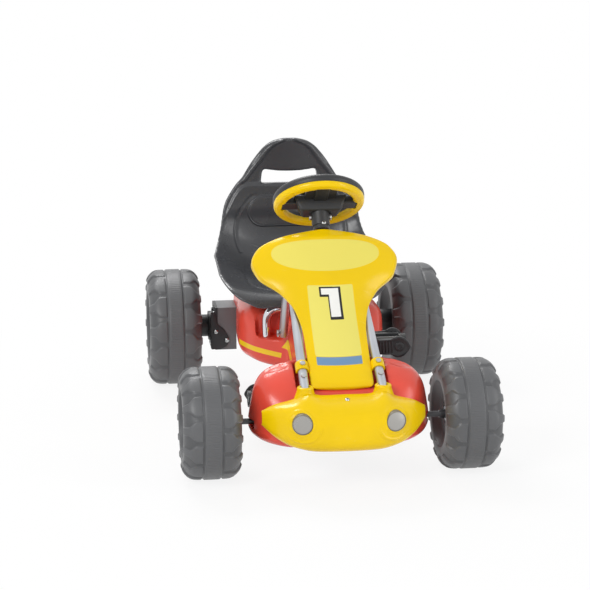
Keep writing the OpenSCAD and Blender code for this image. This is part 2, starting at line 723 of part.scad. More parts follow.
module beam_bolts() {
    color(steel) both_sides() translate([boss_x, front_y, beam_z]) {
        translate([0, 0, -5.5 - gap]) cylinder(d = 14, h = 5.5, $fn = 6);
        translate([0, 0, -1]) cylinder(d = bolt_d, h = 25);
    }
}

module kingpins() {
    reach = sleeve_h / 2 + gap + yoke_t;
    color(steel) both_sides() translate([kingpin_x, front_y, front_z]) {
        translate([0, 0, -reach - 3]) cylinder(d = kingpin_d, h = 2 * reach + 3);
        translate([0, 0, reach + gap]) cylinder(d = kingpin_d + 6, h = 4, $fn = 6);
        translate([0, 0, reach - 1]) cylinder(d = kingpin_d, h = 3);
        translate([0, 0, -reach - 5]) cylinder(d = kingpin_d + 5, h = 5 - gap, $fn = 6);
    }
}

module lower_column_bush() {
    color(black) on_column() difference() {
        union() {
            translate([0, 0, -12]) cylinder(d = column_d + 8, h = 24);
            translate([0, 0, 10]) cylinder(d = column_d + 16, h = 4);
        }
        translate([0, 0, -30]) cylinder(r = column_d / 2 + run_fit, h = 60);
    }
}

bush_at = (hoop_top_z - column_foot[2]) / cos(column_tilt);
module upper_column_bush() {
    color(black) difference() {
        on_column() translate([-17, -13, bush_at - 12]) cube([34, 34, 24]);
        on_column() cylinder(r = column_d / 2 + run_fit, h = column_len);
        translate([0, cross_y, hoop_top_z]) along_x(-60, 60, tube_d + 2 * gap);
    }
}

// Steering parts
hub_low = 50;
hub_wide = 32;
module steering_shaft() {
    color(steel) on_column() difference() {
        translate([0, 0, -column_tail]) cylinder(d = column_d, h = column_tail + column_len - 14);
        translate([0, 0, column_len - hub_low + 16]) rotate([0, 90, 0])
            cylinder(r = 2.5 + gap, h = 40, center = true);
    }
}

module drop_arm() {
    color(dark_steel) on_column() translate([0, 0, drop_at - drop_t / 2]) {
        difference() {
            union() {
                cylinder(d = column_d + 10, h = drop_t);
                translate([-7, -drop_len, 0]) cube([14, drop_len, drop_t]);
                translate([0, -drop_len, 0]) cylinder(d = 14, h = drop_t);
            }
            translate([0, 0, -1]) cylinder(d = column_d + 2 * run_fit, h = drop_t + 2);
        }
        translate([0, -drop_len, -11]) cylinder(d = drop_pin_d, h = drop_t + 22);
        for (z = [-13, drop_t + 11]) translate([0, -drop_len, z]) cylinder(d = drop_pin_d + 11, h = 2);
    }
}

rim_r = steer_d / 2 - steer_rim / 2;
rim_back = 16;
ring_t = 10;
spoke_w = 24;
module steering_wheel() {
    color(black) on_column() translate([0, 0, column_len]) difference() {
        union() {
            rotate_extrude($fn = 72) polygon(concat(
                [[rim_r - steer_rim / 2 + 1, 0], [rim_r + steer_rim / 2 - 1, 0]],
                arc(rim_r + steer_rim / 2 - 6, 6, 6, -20, 0, 2),
                arc(rim_r + steer_rim / 2 - 9, rim_back - 9, 9, 20, 90, 5),
                arc(rim_r - steer_rim / 2 + 9, rim_back - 9, 9, 90, 160, 5),
                arc(rim_r - steer_rim / 2 + 6, 6, 6, 180, 200, 2)));
            translate([0, 0, -hub_low]) cylinder(d = hub_wide, h = hub_low);
            translate([0, 0, -16]) cylinder(d1 = hub_wide, d2 = hub_wide + 22, h = 16);
            for (a = [0, 180, 270])
                rotate([0, 0, a]) translate([0, -spoke_w / 2, -9]) difference() {
                    cube([rim_r - 4, spoke_w, 15]);
                    translate([20, spoke_w / 2, -22]) cylinder(d = spoke_w - 8, h = 28);
                }
        }
        translate([0, 0, -hub_low - 1]) cylinder(d = column_d + 2 * run_fit, h = hub_low - 12);
        translate([0, 0, -hub_low + 16]) rotate([0, 90, 0]) cylinder(d = 5 + 2 * gap, h = 80, center = true);
        translate([0, 0, 6]) linear_extrude(20) pad_outline(gap);
    }
}
module pad_outline(grow) {
    polygon([[-42 - grow, 22 + grow], [42 + grow, 22 + grow], [30 + grow, -26 - grow], [-30 - grow, -26 - grow]]);
}
module steering_ring() {
    inner = rim_r - steer_rim / 2 + 1;
    outer = rim_r + steer_rim / 2 - 1;
    color(yellow) on_column() translate([0, 0, column_len]) difference() {
        rotate_extrude($fn = 72) polygon(concat(
            [[inner, 0]], arc(inner + 7, -ring_t + 7, 7, 180, 270, 5), arc(outer - 7, -ring_t + 7, 7, 270, 360, 5),
            [[outer, 0]]));
        for (a = [0, 180, 270]) rotate([0, 0, a])
            translate([20, -spoke_w / 2 - gap, -12]) cube([rim_r - 24 + gap, spoke_w + 2 * gap, 15]);
    }
}
module steering_pad() {
    color(charcoal) on_column() translate([0, 0, column_len + 6]) {
        linear_extrude(8) pad_outline(0);
        translate([0, 0, 8]) intersection() {
            linear_extrude(8) pad_outline(0);
            translate([0, -2, -68]) sphere(r = 74, $fn = 64);
        }
    }
}
module steering_bolt() {
    color(steel) on_column() translate([0, 0, column_len - hub_low + 16]) {
        along_x(-hub_wide / 2 - 1, hub_wide / 2 + 1, 5);
        along_x(hub_wide / 2 + gap, hub_wide / 2 + 4, 10);
        along_x(-hub_wide / 2 - 4, -hub_wide / 2 - gap, 9);
    }
}

// Front knuckle: sleeve on the kingpin, stub axle and steering arm
front_x = front_track / 2;
stub_out = front_x + front_wheel_w / 2 - recess_out + 14;
stub_collar = front_x - front_wheel_w / 2 + recess_in - gap;
arm_t = 6;
tie_pin_d = 8;
tie_rise = arm_t / 2 + 2 * gap;
tie_eye_t = 6;
module knuckle(side) {
    color(dark_steel) mirror_x(side) difference() {
        translate([kingpin_x, front_y, front_z]) {
            cylinder(d = sleeve_d, h = sleeve_h, center = true);
            along_x(sleeve_d / 2 - 3, stub_out - kingpin_x, stub_d);
            along_x(stub_collar - kingpin_x - 14, stub_collar - kingpin_x, stub_d + 4);
            translate([-7, -arm_len, -arm_t / 2]) cube([14, arm_len, arm_t]);
            translate([0, -arm_len, -arm_t / 2]) cylinder(d = 14, h = arm_t);
            translate([0, -arm_len, 0]) cylinder(d = tie_pin_d, h = tie_rise + tie_eye_t + 3);
        }
        translate([kingpin_x, front_y, front_z - 40]) cylinder(r = kingpin_d / 2 + run_fit, h = 80);
    }
}
module knuckle_left() { knuckle(1); }
module knuckle_right() { knuckle(-1); }

// Tie rod from the knuckle's arm to the pin of the drop arm, with a loose eye there
tie_d = 6;
tie_outer = [kingpin_x, front_y - arm_len, front_z + tie_rise + tie_eye_t / 2];
drop_pin_at = column_foot + column_dir * drop_at + [0, -cos(column_tilt), sin(column_tilt)] * drop_len;
eye_shift = 7;
eye_t = 5;
eye_bore = drop_pin_d + 7;
module tie_rod(side) {
    eye = drop_pin_at + column_dir * eye_shift * side;
    rod_end = [eye_bore / 2 + 2, eye[1], eye[2]];
    color(steel) mirror_x(side) {
        difference() {
            union() {
                translate(tie_outer) cylinder(d = 16, h = tie_eye_t, center = true);
                rod(tie_outer - [6, 0, 0], rod_end, tie_d);
                translate(eye) rotate([-column_tilt, 0, 0]) cylinder(d = eye_bore + 8, h = eye_t, center = true);
            }
            translate(tie_outer) cylinder(r = tie_pin_d / 2 + run_fit, h = 20, center = true);
            translate(eye) rotate([-column_tilt, 0, 0]) cylinder(d = eye_bore, h = 30, center = true);
        }
    }
}
module tie_rod_left() { tie_rod(1); }
module tie_rod_right() { tie_rod(-1); }

// Blow-moulded wheel: profile as [radius, place along the axle], outer side positive
function wheel_profile(r, w, open, bore, grow) =
    let (
        b = r - band_h - grow,
        e = w / 2 - lug_h - grow,
        s = shoulder_r - grow,
        o = open / 2 + grow,
        fi = -w / 2 + recess_in + grow,
        fo = w / 2 - recess_out - grow)
    concat(
        [[bore, fi], [o - 10, fi], [o, -e + 4], [o + 4, -e]],
        [for (p = arc(-e + s, b - s, s, 180, 90, 6)) [p[1], p[0]]],
        grow > 0 ? [] : [[b, -band_w / 2 - 2], [r, -band_w / 2], [r, band_w / 2], [b, band_w / 2 + 2]],
        [for (p = arc(e - s, b - s, s, 90, 0, 6)) [p[1], p[0]]],
        [[o + 4, e], [o, e - 4], [o - 16, fo], [bore, fo]]);
lug_turn = 9;
module wheel_lug(r, w) {
    b = r - band_h;
    e = w / 2 - lug_h;
    outer = arc(e - shoulder_r, b - shoulder_r, shoulder_r + lug_h - 1.2, 78, 14, 5);
    inner = arc(e - shoulder_r, b - shoulder_r, shoulder_r - 2, 14, 78, 5);
    rotate_extrude(angle = lug_turn) polygon([for (p = concat(outer, inner)) [p[1], p[0]]]);
}
module wheel(x, y, d, w, open, bore) {
    translate([x, y, d / 2]) rotate([0, 90, 0]) {
        difference() {
            rotate_extrude($fn = 72) polygon(wheel_profile(d / 2, w, open, bore, 0));
            rotate_extrude($fn = 72) polygon(wheel_profile(d / 2, w, open, hub_d / 2, wheel_wall));
        }
        for (i = [0:lug_count - 1]) {
            rotate([0, 0, 360 * i / lug_count]) wheel_lug(d / 2, w);
            rotate([0, 0, 360 * (i + 0.5) / lug_count]) mirror([0, 0, 1]) wheel_lug(d / 2, w);
        }
    }
}
front_bore = stub_d / 2 + run_fit;
module front_wheel(side) {
    color(charcoal) mirror_x(side) wheel(front_x, front_y, front_wheel_d, front_wheel_w, front_recess_d, front_bore);
}
module front_wheel_left() { front_wheel(1); }
module front_wheel_right() { front_wheel(-1); }

// Silver cap over the wheel nut, standing on the floor of the recess
cap_h = 17;
cap_wall = 2;
module cap(x, y, z, d) {
    translate([x, y, z]) rotate([0, 90, 0]) rotate_extrude() polygon(concat(
        [[d / 2 - cap_wall, 0], [d / 2, 0], [d / 2, 4]],
        arc(d / 2 - 9, cap_h - 9, 9, 20, 90, 4), [[0, cap_h], [0, cap_h - cap_wall]],
        arc(d / 2 - 9, cap_h - 9, 9 - cap_wall, 90, 20, 4), [[d / 2 - cap_wall, 4]]));
}
front_floor = front_x + front_wheel_w / 2 - recess_out;
front_cap_d = front_recess_d - 40;
module front_cap(side) {
    color(chrome) mirror_x(side) cap(front_floor + gap, front_y, front_z, front_cap_d);
}
module front_cap_left() { front_cap(1); }
module front_cap_right() { front_cap(-1); }
module front_nut(side) {
    color(steel) mirror_x(side) translate([0, front_y, front_z]) difference() {
        union() {
            translate([front_floor + gap + 2, 0, 0]) rotate([0, 90, 0]) cylinder(d = 18, h = 8, $fn = 6);
            along_x(front_floor + gap, front_floor + gap + 2, 24);
        }
        along_x(front_floor - 1, front_floor + 20, stub_d + 2 * run_fit);
    }
}
module front_nut_left() { front_nut(1); }
module front_nut_right() { front_nut(-1); }

// Rear axle brackets of folded sheet with bearing blocks
rear_x = rear_track / 2;
bracket_out = rear_x - rear_wheel_w / 2 - 16;
bracket_h = 86;
bracket_l = 64;
sheet = 3;
block_t = 16;
module rear_bracket(side) {
    w = bracket_out - block_t - gap - bracket_in;
    color(dark_steel) mirror_x(side) translate([bracket_in, rear_y, rear_z]) difference() {
        translate([0, -bracket_l / 2, -bracket_h / 2]) difference() {
            cube([w, bracket_l, bracket_h]);
            translate([sheet, sheet, -1]) cube([w - 2 * sheet, bracket_l, bracket_h - sheet + 1]);
        }
        along_x(-1, w + 1, axle_d + 8);
        for (y = [-22, 22], z = [-28, 28]) translate([0, y, z]) {
            along_x(-1, sheet + 1, 6 + 2 * gap);
            along_x(w - sheet - 1, w + 1, 6 + 2 * gap);
        }
    }
}
module rear_bracket_left() { rear_bracket(1); }
module rear_bracket_right() { rear_bracket(-1); }

module bearing_block(side) {
    color(black) mirror_x(side) translate([0, rear_y, rear_z]) difference() {
        union() {
            translate([bracket_out - block_t, -bracket_l / 2, -bracket_h / 2]) cube([5, bracket_l, bracket_h]);
            along_x(bracket_out - block_t, bracket_out, 58);
            translate([bracket_out - block_t, -29, -bracket_h / 2]) cube([block_t - 4, 58, bracket_h / 2]);
        }
        along_x(0, 300, axle_d + 2 * run_fit);
        for (y = [-22, 22], z = [-28, 28]) translate([0, y, z]) along_x(0, 300, 6 + 2 * gap);
    }
}
module bearing_block_left() { bearing_block(1); }
module bearing_block_right() { bearing_block(-1); }

module bracket_bolts() {
    block_in = bracket_out - block_t;
    color(steel) both_sides() translate([0, rear_y, rear_z]) for (y = [-22, 22], z = [-28, 28]) translate([0, y, z]) {
        face = z > 0 ? block_in + 5 : block_in + block_t - 4;
        along_x(block_in - 8, face + 1, 6);
        along_x(face + gap, face + 3, 11);
    }
}

module rear_axle() {
    end = rear_x + rear_wheel_w / 2 - recess_out + 14;
    color(steel) translate([0, rear_y, rear_z]) difference() {
        along_x(-end, end, axle_d);
        translate([rear_x, 0, 0]) cylinder(r = 2.5 + gap, h = 40, center = true);
    }
}

rear_floor = rear_x + rear_wheel_w / 2 - recess_out;
spacer_out = rear_x - rear_wheel_w / 2 + recess_in - gap;
module rear_spacers() {
    color(black) both_sides() translate([0, rear_y, rear_z])
        tube_x(bracket_out + gap, spacer_out, 44, axle_d + 2 * run_fit);
}

// Pin that ties the left wheel's hub to the axle
module drive_pin() {
    color(steel) translate([rear_x, rear_y, rear_z]) cylinder(d = 5, h = hub_d - 4, center = true);
}

rear_bore = axle_d / 2 + run_fit;
module rear_wheel(side) {
    color(charcoal) difference() {
        mirror_x(side) wheel(rear_x, rear_y, rear_wheel_d, rear_wheel_w, rear_recess_d, rear_bore);
        if (side > 0) translate([rear_x, rear_y, rear_z]) cylinder(d = 5 + 2 * gap, h = hub_d - 3, center = true);
    }
}
module rear_wheel_left() { rear_wheel(1); }
module rear_wheel_right() { rear_wheel(-1); }
rear_cap_d = rear_recess_d - 48;
module rear_cap(side) {
    color(chrome) mirror_x(side) cap(rear_floor + gap, rear_y, rear_z, rear_cap_d);
}
module rear_cap_left() { rear_cap(1); }
module rear_cap_right() { rear_cap(-1); }
module axle_nuts() {
    color(steel) both_sides() translate([0, rear_y, rear_z]) difference() {
        union() {
            translate([rear_floor + gap + 2, 0, 0]) rotate([0, 90, 0]) cylinder(d = 26, h = 9, $fn = 6);
            along_x(rear_floor + gap, rear_floor + gap + 2, 32);
        }
        along_x(rear_floor - 1, rear_floor + 20, axle_d + 2 * run_fit);
    }
}

// Chain drive
function pitch_r(teeth) = chain_pitch / (2 * sin(180 / teeth));
tooth_t = 2.4;
roller_d = 7.6;
module toothed(teeth) {
    r = pitch_r(teeth);
    difference() {
        circle(r = r + 3, $fn = 64);
        for (i = [0:teeth - 1]) rotate(360 * (i + 0.5) / teeth) translate([r, 0]) circle(d = roller_d + 0.4, $fn = 24);
    }
}
module rear_sprocket() {
    color(dark_steel) translate([chain_x, rear_y, rear_z]) rotate([0, 90, 0]) difference() {
        union() {
            translate([0, 0, -tooth_t / 2]) linear_extrude(tooth_t) toothed(sprocket_teeth);
            translate([0, 0, -12]) cylinder(d = axle_d + 10, h = 12);
        }
        translate([0, 0, -30]) cylinder(d = axle_d + 2 * run_fit, h = 60);
    }
}
module chainring() {
    r = pitch_r(ring_teeth);
    color(dark_steel) translate([chain_x, crank_y, crank_z]) rotate([0, 90, 0]) difference() {
        union() {
            translate([0, 0, -tooth_t / 2]) linear_extrude(tooth_t) difference() {
                toothed(ring_teeth);
                for (a = [0:72:288]) rotate(a) translate([0.55 * r, 0]) circle(d = 0.32 * r);
            }
            translate([0, 0, -10]) cylinder(d = crank_d + 8, h = 10);
        }
        translate([0, 0, -30]) cylinder(d = crank_d + 2 * run_fit, h = 60);
    }
}

// Chain: link plates along the two straight runs and round both wheels
plate_t = 1.2;
plate_gap = 4.2;
plate_h = 9;
span = [rear_y - crank_y, rear_z - crank_z];
span_len = norm(span);
ring_r = pitch_r(ring_teeth);
sprocket_r = pitch_r(sprocket_teeth);
lean = asin((ring_r - sprocket_r) / span_len);
span_angle = atan2(span[1], span[0]);
run_len = span_len * cos(lean);
top_turn = span_angle + 90 - lean;
low_turn = span_angle - 90 + lean;
function round_point(c, r, a) = [c[0] + r * cos(a), c[1] + r * sin(a)];
crank_c = [crank_y, crank_z];
rear_c = [rear_y, rear_z];
links = floor(run_len / chain_pitch / 2) * 2;
function run_points(turn) = let (a = round_point(crank_c, ring_r, turn), b = round_point(rear_c, sprocket_r, turn))
    [for (i = [0:links]) a + (b - a) * i / links];
function wrap(c, r, a0, a1, n) = [for (i = [1:n - 1]) round_point(c, r, a0 + (a1 - a0) * i / n)];
rear_wrap = round((top_turn - low_turn) * PI / 180 * sprocket_r / chain_pitch / 2) * 2;
ring_wrap = round((360 - top_turn + low_turn) * PI / 180 * ring_r / chain_pitch / 2) * 2;
chain_points = concat(run_points(top_turn), wrap(rear_c, sprocket_r, top_turn, low_turn, rear_wrap),
    [for (i = [links:-1:0]) run_points(low_turn)[i]], wrap(crank_c, ring_r, low_turn, top_turn - 360, ring_wrap));
module link_plate(a, b) {
    v = b - a;
    translate(a) rotate(atan2(v[1], v[0])) {
        circle(d = plate_h, $fn = 16);
        translate([norm(v), 0]) circle(d = plate_h, $fn = 16);
        translate([0, -plate_h / 2 + 1.2]) square([norm(v), plate_h - 2.4]);
    }
}
module chain_side() {
    n = len(chain_points);
    rotate([90, 0, 90]) linear_extrude(plate_t) for (i = [0:n - 1]) link_plate(chain_points[i], chain_points[(i + 1) % n]);
}
module chain() {
    color(steel) {
        translate([chain_x + plate_gap / 2, 0, 0]) chain_side();
        translate([chain_x - plate_gap / 2 - plate_t, 0, 0]) chain_side();
        for (turn = [top_turn, low_turn], i = [3:links - 3])
            translate([0, run_points(turn)[i][0], run_points(turn)[i][1]])
                along_x(chain_x - plate_gap / 2 - plate_t / 2, chain_x + plate_gap / 2 + plate_t / 2, 5);
    }
}

// Crank: shaft, arms and pedal spindles
arm_in = hoop_top_x + tube_d / 2 + 3;
crank_t = 8;
spindle_d = 10;
pedal_in = arm_in + crank_t + 1;
pedal_w = pedal_out - pedal_in;
function pedal_at(side) = [0, crank_y - side * crank_len * cos(crank_angle), crank_z + side * crank_len * sin(crank_angle)];
module crank_half(side) {
    p = pedal_at(side);
    mirror_x(side) {
        translate([arm_in, 0, 0]) rotate([90, 0, 90]) linear_extrude(crank_t) {
            translate([crank_y, crank_z]) circle(d = 30);
            translate([p[1], p[2]]) circle(d = 22);
            translate([crank_y, crank_z]) rotate(atan2(p[2] - crank_z, p[1] - crank_y))
                translate([0, -8]) square([crank_len, 16]);
        }
        translate(p) along_x(arm_in + 1, pedal_out - 6, spindle_d);
    }
}
module crank_shaft() {
    color(dark_steel) {
        translate([0, crank_y, crank_z]) along_x(-arm_in - crank_t / 2, arm_in + crank_t / 2, crank_d);
        crank_half(1);
        crank_half(-1);
    }
}
module crank_bushes() {
    color(black) both_sides() translate([0, crank_y, crank_z]) difference() {
        union() {
            along_x(tunnel_half - 12, tunnel_half + 3, bush_d);
            along_x(tunnel_half + 1, tunnel_half + 4, bush_d + 8);
        }
        along_x(0, 100, crank_d + 2 * run_fit);
    }
}

// Pedal: barrel on the spindle, ribbed bars in front and behind, round outer end
pedal_h = 24;
rib_count = 6;
module pedal(side) {
    p = pedal_at(side);
    bar = 12;
    color(black) mirror_x(side) translate([pedal_in, p[1], p[2]]) difference() {
        union() {
            along_x(0, pedal_w, 22);
            for (s = [-1, 1]) translate([0, s * (pedal_len / 2 - bar / 2) - bar / 2, -pedal_h / 2])
                cube([pedal_w - 8, bar, pedal_h]);
            for (x = [0, pedal_w - 14]) translate([x, -pedal_len / 2 + 2, -8]) cube([6, pedal_len - 4, 16]);
            along_x(pedal_w - 12, pedal_w, 30);
            for (i = [1:rib_count - 1]) translate([i * (pedal_w - 14) / rib_count, -pedal_len / 2 + 2, -6])
                cube([3, pedal_len - 4, 12]);
        }
        along_x(-1, pedal_w + 1, spindle_d + 2 * run_fit);
        along_x(pedal_w - 5.5, pedal_w + 1, 18);
        for (i = [0:rib_count - 1], s = [-1, 1], z = [-1, 1])
            translate([(i + 0.5) * (pedal_w - 8) / rib_count - 1.5, s * pedal_len / 2 - 2, z * pedal_h / 2 - 2])
                cube([3, 4, 4]);
    }
}
module pedal_left() { pedal(1); }
module pedal_right() { pedal(-1); }
module pedal_nuts() {
    color(steel) for (side = [1, -1]) mirror_x(side) translate(pedal_at(side)) difference() {
        along_x(pedal_out - 5.2, pedal_out - 1, 15);
        along_x(pedal_out - 8, pedal_out - 2.5, spindle_d + 2 * run_fit);
    }
}

body_shell();
hood();
bumper();
headlamp_left();
headlamp_right();
hood_screws();
hoop_tube_left();
hoop_tube_right();
hoop_cross_tube();
hoop_bolts();
seat();
seat_hoop();
seat_bolts();
front_beam();
beam_bolts();
kingpins();
lower_column_bush();
upper_column_bush();
steering_shaft();
drop_arm();
steering_wheel();
steering_ring();
steering_pad();
steering_bolt();
knuckle_left();
knuckle_right();
tie_rod_left();
tie_rod_right();
front_wheel_left();
front_wheel_right();
front_cap_left();
front_cap_right();
front_nut_left();
front_nut_right();
rear_bracket_left();
rear_bracket_right();
bearing_block_left();
bearing_block_right();
bracket_bolts();
rear_axle();
rear_spacers();
drive_pin();
rear_sprocket();
rear_wheel_left();
rear_wheel_right();
rear_cap_left();
rear_cap_right();
axle_nuts();
crank_shaft();
crank_bushes();
chainring();
chain();
pedal_left();
pedal_right();
pedal_nuts();
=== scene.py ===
# %% [markdown]
# # A pedal go kart, dressed for the camera
# The kart is a child's ride-on of blow-moulded and injection-moulded plastic on a few steel tubes.
# The solids already stand in the frame, so every cell below only finishes them: it gives a moulding its
# soft corners, a tube its true round, a tyre its tread, and each of them a surface.

# %% Load the frame
import bpy
import json
import math
from mathutils import Matrix, Vector


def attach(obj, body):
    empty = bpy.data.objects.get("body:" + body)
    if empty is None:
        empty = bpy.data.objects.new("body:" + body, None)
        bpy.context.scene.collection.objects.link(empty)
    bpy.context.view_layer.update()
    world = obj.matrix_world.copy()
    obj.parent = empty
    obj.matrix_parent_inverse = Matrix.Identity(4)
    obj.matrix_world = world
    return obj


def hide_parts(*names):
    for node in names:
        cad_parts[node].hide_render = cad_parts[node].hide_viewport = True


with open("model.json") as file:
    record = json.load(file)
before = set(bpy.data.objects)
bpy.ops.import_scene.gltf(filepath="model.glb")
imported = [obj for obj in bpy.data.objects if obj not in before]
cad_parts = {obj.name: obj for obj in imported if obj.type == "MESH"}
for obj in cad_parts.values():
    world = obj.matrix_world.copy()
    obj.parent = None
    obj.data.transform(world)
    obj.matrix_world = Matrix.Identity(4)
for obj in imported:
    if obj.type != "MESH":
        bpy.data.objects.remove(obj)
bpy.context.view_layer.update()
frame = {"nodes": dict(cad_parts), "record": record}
body_of_node = {node: body for body, nodes in frame["record"]["behaviour"]["bodies"].items() for node in nodes}

# %% [markdown]
# ## The camera
# The photograph was taken from a little to the kart's right, from just under a metre up.
# A long lens from three metres keeps the wheels nearly round, so the camera gets the same lens and place.

# %% Camera
view_yaw, view_pitch = -0.13388283, 0.22814324
towards_viewer = Vector((math.sin(view_yaw) * math.cos(view_pitch),
                         -math.cos(view_yaw) * math.cos(view_pitch),
                         math.sin(view_pitch)))
bpy.ops.object.select_all(action="DESELECT")
bpy.ops.object.camera_add(location=(-0.44017, -3.0055, 0.94605),
                          rotation=towards_viewer.to_track_quat("Z", "Y").to_euler())
camera = bpy.context.object
camera.name = "photo_camera"
camera.data.sensor_width = 36
camera.data.lens = 1697.69 / 590 * 36
bpy.context.scene.camera = camera
print("camera lens", round(camera.data.lens, 2))

# %% [markdown]
# ## Shared hand tools
# Most mouldings are lofts: a grid is added flat and each of its points is carried to its place on a section.
# The grids follow nearly the same keys as the solids, so a skin lies where its solid lies, apart from its finer form.

# %% Work on one piece at a time
MM = 0.001
SIDES = ((1, "left"), (-1, "right"))
front_axle, rear_axle, crank = (-291, 95), (299, 115), (-136, 134)


def spin(degrees, axis):
    return Matrix.Rotation(math.radians(degrees), 4, axis)


def pick(piece):
    bpy.ops.object.select_all(action="DESELECT")
    piece.select_set(True)
    bpy.context.view_layer.objects.active = piece


def edit(piece, *steps):
    pick(piece)
    bpy.ops.object.mode_set(mode="EDIT")
    bpy.ops.mesh.select_all(action="SELECT")
    for step in steps:
        step()
    bpy.ops.object.mode_set(mode="OBJECT")


def merge_points():
    bpy.ops.mesh.remove_doubles(threshold=0.00002)


def face_outwards():
    bpy.ops.mesh.normals_make_consistent(inside=False)


def face_forward(piece):
    edit(piece, merge_points, face_outwards)
    if sum(face.normal.y for face in piece.data.polygons) > 0:
        edit(piece, lambda: bpy.ops.mesh.flip_normals())


def cap_open_ends():
    bpy.ops.mesh.select_all(action="DESELECT")
    bpy.ops.mesh.select_non_manifold(extend=False, use_wire=False, use_multi_face=False,
                                     use_non_contiguous=False, use_verts=False)
    bpy.ops.mesh.fill_holes(sides=0)
    bpy.ops.mesh.select_all(action="SELECT")


def finish_with(piece, kind, **settings):
    pick(piece)
    step = piece.modifiers.new(kind.lower(), kind)
    for name, value in settings.items():
        setattr(step, name, value)
    bpy.ops.object.modifier_apply(modifier=step.name)


def break_edges(piece, width, segments=2):
    finish_with(piece, "BEVEL", width=width * MM, segments=segments, limit_method="ANGLE",
                angle_limit=math.radians(50))


def soften(piece, degrees=35):
    pick(piece)
    bpy.ops.object.shade_smooth_by_angle(angle=math.radians(degrees))


def points_and_normals(piece):
    return [(point, point.normal.copy()) for point in piece.data.vertices]


def triangles(piece):
    return sum(len(face.vertices) - 2 for face in piece.data.polygons)


def settle(piece, body, slot, *nodes):
    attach(piece, body)
    if nodes:
        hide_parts(*nodes)
    print(piece.name, "rides on", body, "with", triangles(piece), "triangles")


# %% Lofted sheets
def key_slopes(keys):
    rises = [(b[1] - a[1]) / (b[0] - a[0]) for a, b in zip(keys, keys[1:])]
    inner = [2 * a * b / (a + b) if a * b > 0 else 0 for a, b in zip(rises, rises[1:])]
    return [rises[0]] + inner + [rises[-1]]


known_slopes = {}


def curve(keys, x):
    if x <= keys[0][0]:
        return keys[0][1]
    if x >= keys[-1][0]:
        return keys[-1][1]
    if id(keys) not in known_slopes:
        known_slopes[id(keys)] = key_slopes(keys)
    slopes = known_slopes[id(keys)]
    i = 0
    while keys[i + 1][0] <= x:
        i += 1
    span = keys[i + 1][0] - keys[i][0]
    t = (x - keys[i][0]) / span
    return ((2 * t**3 - 3 * t**2 + 1) * keys[i][1] + (t**3 - 2 * t**2 + t) * span * slopes[i]
            + (3 * t**2 - 2 * t**3) * keys[i + 1][1] + (t**3 - t**2) * span * slopes[i + 1])


def smoothstep(low, high, x):
    t = min(1, max(0, (x - low) / (high - low)))
    return t * t * (3 - 2 * t)


def power(value, exponent):
    return math.copysign(abs(value) ** exponent, value)


def sheet(name, across, along, place):
    bpy.ops.object.select_all(action="DESELECT")
    bpy.ops.mesh.primitive_grid_add(x_subdivisions=across, y_subdivisions=along, size=2)
    piece = bpy.context.object
    piece.name = name
    piece.data.name = name
    for point in piece.data.vertices:
        point.co = Vector(place((point.co.x + 1) / 2, (point.co.y + 1) / 2)) * MM
    edit(piece, merge_points)
    return piece


def turned(name, profile, steps, at):
    last = len(profile) - 1

    def place(u, v):
        radius, height = profile[round(v * last)]
        a = 2 * math.pi * u
        return at @ Vector((radius * math.cos(a), radius * math.sin(a), height))

    piece = sheet(name, steps, last, place)
    edit(piece, cap_open_ends, face_outwards)
    return piece


def fillet(cx, cy, radius, start, end, steps):
    return [(cx + radius * math.cos(math.radians(start + (end - start) * i / steps)),
             cy + radius * math.sin(math.radians(start + (end - start) * i / steps)))
            for i in range(steps + 1)]


def cut_with(piece, cutter):
    finish_with(piece, "BOOLEAN", operation="DIFFERENCE", object=cutter, solver="MANIFOLD")
    bpy.data.objects.remove(cutter)


def join(name, *parts):
    bpy.ops.object.select_all(action="DESELECT")
    for part in parts:
        part.select_set(True)
    bpy.context.view_layer.objects.active = parts[0]
    bpy.ops.object.join()
    parts[0].name = name
    return parts[0]


def rounded_box(name, low, high, radius, at=Matrix()):
    bpy.ops.object.select_all(action="DESELECT")
    bpy.ops.mesh.primitive_cube_add(size=1)
    piece = bpy.context.object
    piece.name = name
    for point in piece.data.vertices:
        place = Vector([low[i] + (high[i] - low[i]) * (point.co[i] + 0.5) for i in range(3)])
        point.co = (at @ place) * MM
    if radius:
        edit(piece, lambda: bpy.ops.mesh.bevel(offset=radius * MM, segments=5, profile=0.5, affect="EDGES"))
    return piece


def plate(name, outline, y, thick, corner):
    bpy.ops.object.select_all(action="DESELECT")
    bpy.ops.mesh.primitive_circle_add(vertices=len(outline), fill_type="NGON")
    piece = bpy.context.object
    piece.name = name
    for point, (x, z) in zip(piece.data.vertices, outline):
        point.co = Vector((x, y, z)) * MM
    finish_with(piece, "BEVEL", affect="VERTICES", width=corner * MM, segments=5)
    finish_with(piece, "SOLIDIFY", thickness=thick * MM, offset=0)
    edit(piece, face_outwards)
    return piece


def screw(name, at, radius, high):
    dome = [(0, 0.35 * high), (0.42 * radius, 0.35 * high), (0.46 * radius, 0.95 * high), (0.6 * radius, 0.9 * high),
            (0.85 * radius, 0.62 * high), (radius, 0.1 * high), (radius, -0.3), (0, -0.3)]
    piece = turned(name, dome, 28, at)
    soften(piece, 35)
    return piece


